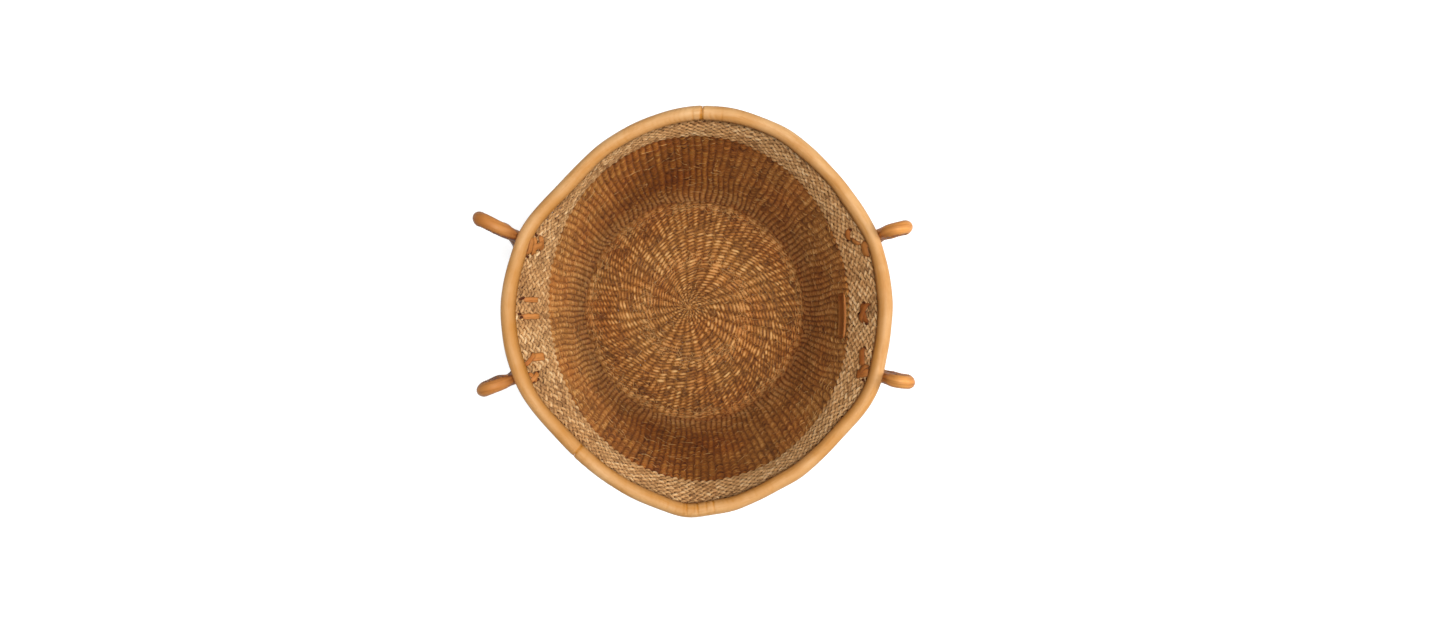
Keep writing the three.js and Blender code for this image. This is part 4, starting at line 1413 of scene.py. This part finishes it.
    def seam_threads(self, start: float, end: float) -> Tubes:
        """Stitches along the seam: short threads that cross the groove aslant, bowed off the leather."""
        count = int((end - start) / self.stitch_pitch)
        centre = start + (np.arange(count) + 0.5) * (end - start) / count
        t = np.linspace(-1.0, 1.0, 7)
        distance = (centre[:, None] + self.stitch_half * t).ravel()
        turn = np.tile(self.stitch_turn * t, count)[:, None]
        lifts = (0.15 * MM, -2.0 * MM)
        top, under = (self.leather_surface(distance, turn, lift).reshape(count, -1, 3) for lift in lifts)
        path = top + unit(under - top) * (np.abs(t) ** 3 * 0.8 * MM)[:, None]
        return sewing_thread(path, unit(top - under), self.thread_radius, 0.35)

    def cord(self) -> Tubes:
        """Cord inside the grip: three lobes that turn along the middle line."""
        distance = np.linspace(self.stations[2], self.stations[3], 200)
        turn, cos, sin = round_section(12)
        size = self.cord_radius * cord_lobes(turn, self.cord_twist * distance[:, None])
        path = self.read(distance, self.line)
        points = sweep(path, self.read(distance, self.seam_side), size * cos, size * sin)
        return Tubes(points[None], {"tone": even(0.5)})

    def tongue(self, leg: Leg) -> Tubes:
        """A tongue on the outside of the band: a flat strip carried down the wall.

        Its half width grows from the neck to the full width at the lacing, stays, and ends in half a circle.
        """
        angle = self.root_angle(leg)
        lacing = self.shape.rim_height - self.lacing_below_rim
        turn = np.linspace(0.0, np.pi / 2 - 0.03, 14)
        neck = np.linspace(0.0, 1.0, 8)
        round_end = -self.tongue_straight - self.tongue_half_width * np.sin(turn)
        up = np.concatenate([self.tongue_above * (1 - neck), round_end])
        taper = self.tongue_neck + (self.tongue_half_width - self.tongue_neck) * smoothstep(neck, 0.0, 1.0)
        half = np.concatenate([taper, self.tongue_half_width * np.cos(turn)])
        wide, thick = strip_section(28, 0.4)
        along = half[:, None] * wide
        crown = 0.35 * MM * (1.0 - wide**2)
        out = self.tongue_back + self.tongue_leather / 2 * (1.0 + thick) + crown * (thick > 0)
        reach = float(self.shape.wall_radius(lacing))
        points = self.shape.wall_point(angle + along / reach, lacing + up[:, None], out)
        shade = np.broadcast_to(0.55 * hump(np.abs(thick), 0.55), along.shape)
        return Tubes(points[None], {"shade": shade[None]})

    def dress(self) -> None:
        """Makes the grip with its cord, and at each leg the end on the band and the bend, which rides on no
        body.
        """
        body = f"handle_{self.side.word}"
        s = self.stations
        fit_piece(f"{body}_grip_roll", [self.roll(s[2], s[3])], Finish.HANDLE_LEATHER, body, f"{body}_grip")
        fit_piece(f"{body}_grip_seam", [self.seam_threads(s[2], s[3])], Finish.DYED_SISAL, body)
        fit_piece(f"{body}_cord", [self.cord()], Finish.CORD, body, f"{body}_core")
        stretches = ((s[0], s[1], s[2]), (s[5], s[4], s[3]))
        for leg, (end, foot, tip) in zip(self.legs, stretches):
            name = f"{body}_{leg.word}"
            tongue = [self.tongue(leg), self.roll(*sorted((end, foot)))]
            fit_piece(f"{name}_tongue", tongue, Finish.HANDLE_LEATHER, "basket", f"{name}_end")
            bend = [self.roll(*sorted((foot, tip)))]
            seam = [self.seam_threads(*sorted((foot, tip)))]
            ends = self.read(np.array([foot, tip]), self.line)
            for piece in (
                fit_piece(f"{name}_bend_roll", bend, Finish.HANDLE_LEATHER, "", f"{name}_bend"),
                fit_piece(f"{name}_bend_seam", seam, Finish.DYED_SISAL, ""),
            ):
                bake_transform(piece)


@dataclass(frozen=True)
class Stitch:
    """One visible run of a flat thong, which dips into the weave at both ends. Millimetres.

    Attributes:
        start: Distance along the wall and height above the lacing where it comes out.
        end: The same where it goes in.
        width: Width of the thong.
        off: Offset of its middle from mid-weave, negative on the inside.
        dark: How far its colour is drawn to the crease colour, from 0 to 1.
    """

    start: tuple[float, float]
    end: tuple[float, float]
    width: float = 5.0
    off: float = -4.4
    dark: float = 0.0


@dataclass
class ThongLacing:
    """Flat leather thongs laced through the band at one place.

    Attributes:
        shape: Surface of the weave.
        angle: Angle of the lacing round the basket.
        stitches: Runs of the thong.
        hole_shadows: Distance along and height, in millimetres, of painted shadows where it goes through the
            weave.
    """

    shape: BodyShape
    angle: float
    stitches: list[Stitch]
    hole_shadows: list[tuple[float, float]] = field(default_factory=list)
    height: float = 251.0 * MM
    leather: float = 1.9 * MM
    squareness: float = 0.55
    uneven: float = 0.06
    end_width: float = 0.72
    end_shade: float = 0.75
    edge_shade: float = 0.45
    most_shade: float = 0.95
    rings: int = 15
    sides: int = 12
    hole_shadow_size: tuple[float, float] = (1.5 * MM, 1.7 * MM)

    def at(self, along: Array, up: Array, out: Array) -> Array:
        """Points beside the wall by their distance along it, height above the lacing and offset."""
        reach = float(self.shape.wall_radius(self.height))
        return self.shape.wall_point(self.angle + along / reach, self.height + up, out)

    def run(self, stitch: Stitch, seed: int) -> Tubes:
        """One stitch: a flat section on a line that rises steeply off the weave at both ends."""
        t = np.linspace(0.0, 1.0, self.rings)
        rise = 1.0 - np.abs(2.0 * t - 1.0) ** 5
        wide, thick = strip_section(self.sides, self.squareness)
        start, end = np.array(stitch.start) * MM, np.array(stitch.end) * MM
        along, up = start[:, None] + (end - start)[:, None] * t
        dip = np.sign(stitch.off) * MM
        out = dip + (stitch.off * MM - dip) * rise
        path = self.at(along, up, out)
        normal = unit(self.at(along, up, out + MM) - path)
        uneven = 1.0 + self.uneven * waves(t * 3.0, 40 + seed, 0.2, 1.0)
        width = stitch.width * (self.end_width + (1.0 - self.end_width) * rise)
        half = (width * MM / 2 * uneven)[:, None]
        through = self.leather / 2 * np.broadcast_to(thick, (self.rings, self.sides))
        points = sweep(path, normal, through, half * wide)
        # Painted shade where the thong dips into the weave; the dark edges are its cut edges and painted
        # shade in the gaps between thongs
        shade = self.end_shade * (1.0 - rise)[:, None] ** 1.5 + self.edge_shade * np.abs(wide) ** 6
        shade = np.clip(stitch.dark + shade, 0.0, self.most_shade)
        return Tubes(points[None], {"shade": shade[None]})

    def hole_shadow(self, along: float, up: float) -> Tubes:
        """One painted shadow where the thong goes through the weave: dark oval rings that shrink to its
        middle.
        """
        _, cos, sin = round_section(10)
        size = np.array([1.0, 0.85, 0.2])[:, None]
        out = -np.array([2.4, 3.35, 3.5])[:, None] * MM
        wide, tall = self.hole_shadow_size
        points = self.at(along * MM + wide * size * cos, up * MM + tall * size * sin, out)
        return Tubes(points[None], {"shade": even(1.0)})

    def dress(self, name: str, node: str) -> None:
        """Makes the lacing as one piece."""
        runs = [self.run(stitch, order) for order, stitch in enumerate(self.stitches)]
        gap_shades = [self.hole_shadow(*place) for place in self.hole_shadows]
        fit_piece(name, runs + gap_shades, Finish.THONG_LEATHER, "basket", node)


@dataclass
class InnerPatch:
    """Bare leather patch sewn to the inside of the right wall just below the band."""

    shape: BodyShape
    shift: float = -6.0 * MM
    width: float = 50.0 * MM
    height: float = 20.0 * MM
    corner: float = 4.0 * MM
    leather: float = 1.8 * MM
    below_band: float = 1.0 * MM
    clearance: float = 0.3 * MM
    curl: float = 1.1 * MM
    curl_reach: float = 5.0 * MM
    stitch_pitch: float = 4.0 * MM
    stitch_inset: float = 2.6 * MM
    stitch_half: float = 1.35 * MM
    thread_radius: float = 0.36 * MM

    def at(self, along: Array, down: Array, out: Array) -> Array:
        """Points beside the wall by their distance along it and below the patch's top edge."""
        top = self.shape.band_line - self.below_band
        angle = np.arcsin(self.shift / self.shape.rim_radius)
        return self.shape.wall_point(angle + along / float(self.shape.wall_radius(top)), top - down, out)

    def middle(self, down: Array) -> Array:
        """Offset of the leather's middle, which curls off the wall at its upper and lower edges."""
        edge = hump(down, self.curl_reach) + 0.4 * hump(self.height - down, self.curl_reach)
        return -(self.shape.weave / 2 + self.clearance + self.leather / 2) - self.curl * edge

    def sheet(self) -> Tubes:
        """The patch: a flat strip carried down the wall and drawn in at its round corners."""
        turn = np.linspace(0.03, np.pi / 2, 7)
        drawn = self.corner * (1 - np.sin(turn))
        ends = self.corner * (1 - np.cos(turn))
        straight = np.linspace(self.corner, self.height - self.corner, 9)[1:-1]
        down = np.concatenate([ends, straight, self.height - ends[::-1]])[:, None]
        half = self.width / 2 - np.concatenate([drawn, np.zeros(7), drawn[::-1]])[:, None]
        wide, thick = strip_section(32, 0.4)
        points = self.at(half * wide, down, self.middle(down) + self.leather / 2 * thick)
        # Painted light and shade: the top edge is painted lighter, as lit, and the back, facing the wall,
        # painted darker; the face is drawn darker all over
        shade = 0.3 - 0.3 * hump(down, 3.0 * MM) + 0.3 * (thick > 0.5)
        return Tubes(points[None], {"shade": np.clip(shade, 0.0, 1.0)[None]})

    def threads(self) -> Tubes:
        """Sewing thread round the patch: short runs along its edges that dip at their ends."""
        half, tall, inset = self.width / 2, self.height, self.stitch_inset
        level = np.arange(inset + 1.5 * MM - half, half - inset - MM, self.stitch_pitch)
        upright = np.arange(inset + 3.0 * MM, tall - inset - 2.0 * MM, self.stitch_pitch)
        to_side, to_top = np.full(len(upright), half - inset), np.full(len(level), inset)
        along = np.concatenate([level, level, -to_side, to_side])
        down = np.concatenate([to_top, tall - to_top, upright, upright])
        flat = (np.arange(len(along)) < 2 * len(level))[:, None]
        t = np.linspace(-1.0, 1.0, 5)
        step = self.stitch_half * t
        along, down = along[:, None] + np.where(flat, step, 0.0), down[:, None] + np.where(flat, 0.0, step)
        out = self.middle(down) - self.leather / 2 - 0.2 * MM + 0.6 * MM * np.abs(t) ** 3
        path = self.at(along, down, out)
        normal = unit(self.at(along, down, out - MM) - path)
        return sewing_thread(path, normal, self.thread_radius, 0.3)

    def dress(self) -> None:
        """Makes the patch and its thread."""
        fit_piece("patch_leather", [self.sheet()], Finish.THONG_LEATHER, "basket", "inner_patch")
        fit_piece("patch_thread", [self.threads()], Finish.DYED_SISAL, "basket")


@dataclass(frozen=True)
class Lamp:
    """A square soft lamp: its name, its place, its width and its power in watts."""

    name: str
    place: tuple[float, float, float]
    size: float
    watts: float


@dataclass
class Studio:
    """Pale floor, soft lights and a camera straight above the basket."""

    camera_height: float = 1.168
    aim: tuple[float, float, float] = (23.3 * MM, -2.85 * MM, 268.0 * MM)
    lens: float = 23.7
    floor_half: float = 6.0
    floor_paint: float = 0.6
    floor_glow: float = 0.62
    ambient: float = 0.12
    lamps: tuple[Lamp, Lamp] = (
        Lamp("key", (1.5, 0.05, 1.1), 0.5, 15.0),
        Lamp("overhead", (0.12, 0.0, 2.6), 0.7, 52.0),
    )
    lamp_aim: tuple[float, float, float] = (0.0, 0.0, 0.15)

    def floor(self) -> None:
        """Lays a white floor that keeps the shadow and shows a little brighter to the camera."""
        half = self.floor_half
        corners = [(-half, -half, 0.0), (half, -half, 0.0), (half, half, 0.0), (-half, half, 0.0)]
        mesh = bpy.data.meshes.new("floor")
        mesh.from_pydata(corners, [], [(0, 1, 2, 3)])
        bench = NodeBench("white_floor")
        rays = bench.add("ShaderNodeLightPath").outputs
        mirrored = bench.math("MAXIMUM", rays["Is Glossy Ray"], rays["Is Transmission Ray"])
        seen = bench.math("MAXIMUM", rays["Is Camera Ray"], mirrored)
        paint = bench.add("ShaderNodeBsdfDiffuse", {"Color": (*[self.floor_paint] * 3, 1.0)}).outputs[0]
        shine = {"Color": WHITE, "Strength": bench.weigh(seen, self.floor_glow)}
        glow = bench.add("ShaderNodeEmission", shine).outputs[0]
        mesh.materials.append(bench.finish(bench.add("ShaderNodeAddShader", {0: paint, 1: glow}).outputs[0]))
        floor = bpy.data.objects.new("floor", mesh)
        bpy.context.scene.collection.objects.link(floor)

    def hang(self, lamp: Lamp) -> None:
        """Hangs a lamp that faces the basket."""
        light = bpy.data.lights.new(lamp.name, "AREA")
        light.size = lamp.size
        light.energy = lamp.watts
        hung = bpy.data.objects.new(lamp.name, light)
        hung.location = lamp.place
        hung.rotation_euler = (Vector(self.lamp_aim) - Vector(lamp.place)).to_track_quat("-Z", "Y").to_euler()
        bpy.context.scene.collection.objects.link(hung)

    def world(self) -> None:
        """Even white light from all round, and white behind everything that the camera sees."""
        world = bpy.data.worlds.new("studio")
        world.use_nodes = True
        nodes, links = world.node_tree.nodes, world.node_tree.links
        nodes.clear()
        rays = nodes.new("ShaderNodeLightPath")
        glow = nodes.new("ShaderNodeBackground")
        seen = nodes.new("ShaderNodeBackground")
        glow.inputs["Strength"].default_value = self.ambient
        mix = nodes.new("ShaderNodeMixShader")
        output = nodes.new("ShaderNodeOutputWorld")
        links.new(rays.outputs["Is Camera Ray"], mix.inputs[0])
        links.new(glow.outputs[0], mix.inputs[1])
        links.new(seen.outputs[0], mix.inputs[2])
        links.new(mix.outputs[0], output.inputs[0])
        for background in (glow, seen):
            background.inputs["Color"].default_value = WHITE
        bpy.context.scene.world = world

    def camera(self) -> None:
        """Hangs the camera above the basket, with the top of the picture towards the back."""
        data = bpy.data.cameras.new("camera")
        data.lens = self.lens
        camera = bpy.data.objects.new("camera", data)
        camera.location = (0.0, 0.0, self.camera_height)
        look = (Vector(self.aim) - camera.location).normalized()
        right = look.cross(Vector((0.0, 1.0, 0.0))).normalized()
        camera.rotation_euler = Matrix((right, right.cross(look), -look)).transposed().to_euler()
        bpy.context.scene.collection.objects.link(camera)
        bpy.context.scene.camera = camera

    def dress(self) -> None:
        """Sets up the camera, the floor, the lamps and the world."""
        self.camera()
        self.floor()
        for lamp in self.lamps:
            self.hang(lamp)
        self.world()
        bpy.context.scene.view_settings.view_transform = "Standard"


# The two legs of each handle, the back one first
LEGS: dict[Side, tuple[Leg, Leg]] = {
    Side.LEFT: (
        Leg("back", 69.0 * MM, 17.6 * MM, 18.7 * MM, -2.5 * MM),
        Leg("front", -63.0 * MM, 11.5 * MM, 14.7 * MM, -3.0 * MM),
    ),
    Side.RIGHT: (
        Leg("back", 68.5 * MM, 10.5 * MM, 11.8 * MM),
        Leg("front", -60.0 * MM, 7.8 * MM, 13.9 * MM),
    ),
}
# Runs of the thongs on the inside of the band at each place, and the painted shadows where they go through
# the weave
INNER_RUNS: dict[str, list[Stitch]] = {
    "left_back": [
        Stitch((-5.5, 15.0), (13.5, 12.0), 5.2, -8.2, 0.05),
        Stitch((-6.0, 9.4), (11.5, 3.6), 6.0, -4.8),
        Stitch((-9.0, 2.5), (4.0, -4.5), 6.0, dark=0.08),
        Stitch((5.0, 8.5), (-4.0, -3.0), 6.8, -5.6, 0.08),
    ],
    "left_front": [
        Stitch((-13.0, 3.0), (-11.0, -11.0), 8.0),
        Stitch((-17.0, -1.0), (-8.0, 11.0), 5.0, -5.4),
        Stitch((0.5, 10.5), (10.5, 5.5), 5.0),
        Stitch((2.8, 2.0), (8.5, 11.5), 5.0, -5.6),
    ],
    "right_back": [
        Stitch((16.0, -1.0), (7.0, -6.5), 6.0),
        Stitch((-0.5, 9.5), (-15.0, 7.0), 9.0, dark=0.1),
        Stitch((6.5, -2.0), (-1.0, 4.0), 4.5, dark=0.25),
    ],
    "right_front": [
        Stitch((21.0, -2.0), (3.0, 2.5), 7.0),
        Stitch((-7.0, -2.0), (-0.5, 11.0), 9.0, dark=0.05),
        Stitch((5.0, 8.0), (-4.0, 2.5), 5.0, -5.6, 0.15),
    ],
    "left_middle": [Stitch((-11.0, 3.5), (-11.6, -12.0), 5.2), Stitch((6.0, 4.5), (6.4, -13.5), 5.6)],
    "right_knot": [
        Stitch((7.5, -7.0), (-12.5, -1.0), 6.5, dark=0.15),
        Stitch((7.0, 0.0), (-12.0, -7.5), 6.0, -5.8, 0.1),
    ],
}
HOLE_SHADOWS: dict[str, list[tuple[float, float]]] = {
    "left_back": [(-8.3, 7.5), (-3.0, 4.6), (5.0, 1.0), (14.5, 8.5), (4.6, 11.5)],
    "left_front": [(-12.1, 4.5), (0.5, 10.5), (9.5, 3.5), (2.5, 0.8), (10.0, 8.5)],
    "right_back": [(-3.4, 10.5), (-14.5, 8.5), (6.8, -7.5), (15.0, 0.5)],
    "right_front": [(1.8, 11.5), (-6.9, 11.0), (-9.0, 7.0), (21.2, 0.5)],
    "left_middle": [(-11.4, 6.2), (-12.6, 3.6), (3.4, 7.0), (6.7, 5.2)],
    "right_knot": [(-3.5, -10.5), (8.0, -4.5), (-13.4, -1.5)],
}


def lace(shape: BodyShape, angle: float, place: str, node: str, outer: float, half_width: float) -> None:
    """Laces one place: its runs inside, one run across outside and the two tails above it.

    Args:
        shape: Surface of the weave.
        angle: Angle round the basket.
        place: Name of the place.
        node: CAD node that the lacing stands for.
        outer: Offset of the outer runs from mid-weave, in millimetres.
        half_width: Half the length of the outer run, in millimetres.
    """
    outside = [Stitch((-half_width, -5.0), (half_width, -5.0), 5.0, outer)]
    outside += [Stitch((side * half_width, 3.0), (side * half_width, 9.5), 4.6, outer) for side in (-1, 1)]
    ThongLacing(shape, angle, INNER_RUNS[place] + outside, HOLE_SHADOWS[place]).dress(f"thong_{place}", node)


def main() -> None:
    """Builds the basket on the frame, in order."""
    logging.basicConfig(level=logging.INFO, format="%(message)s")
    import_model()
    Studio().dress()
    shape = BodyShape()
    TwinedBody(shape).dress()
    BoundRim(shape).dress()
    for side, legs in LEGS.items():
        handle = RolledHandle(shape, side, legs)
        handle.dress()
        for leg in legs:
            place = f"{side.word}_{leg.word}"
            lace(shape, handle.root_angle(leg), place, f"lacing_{place}", outer=7.9, half_width=9.0)
    lace(shape, np.pi, "left_middle", "tie_left", outer=4.6, half_width=8.3)
    lace(shape, 0.0, "right_knot", "tie_right", outer=4.6, half_width=8.0)
    InnerPatch(shape).dress()
    bpy.context.view_layer.update()


if __name__ == "__main__":
    main()
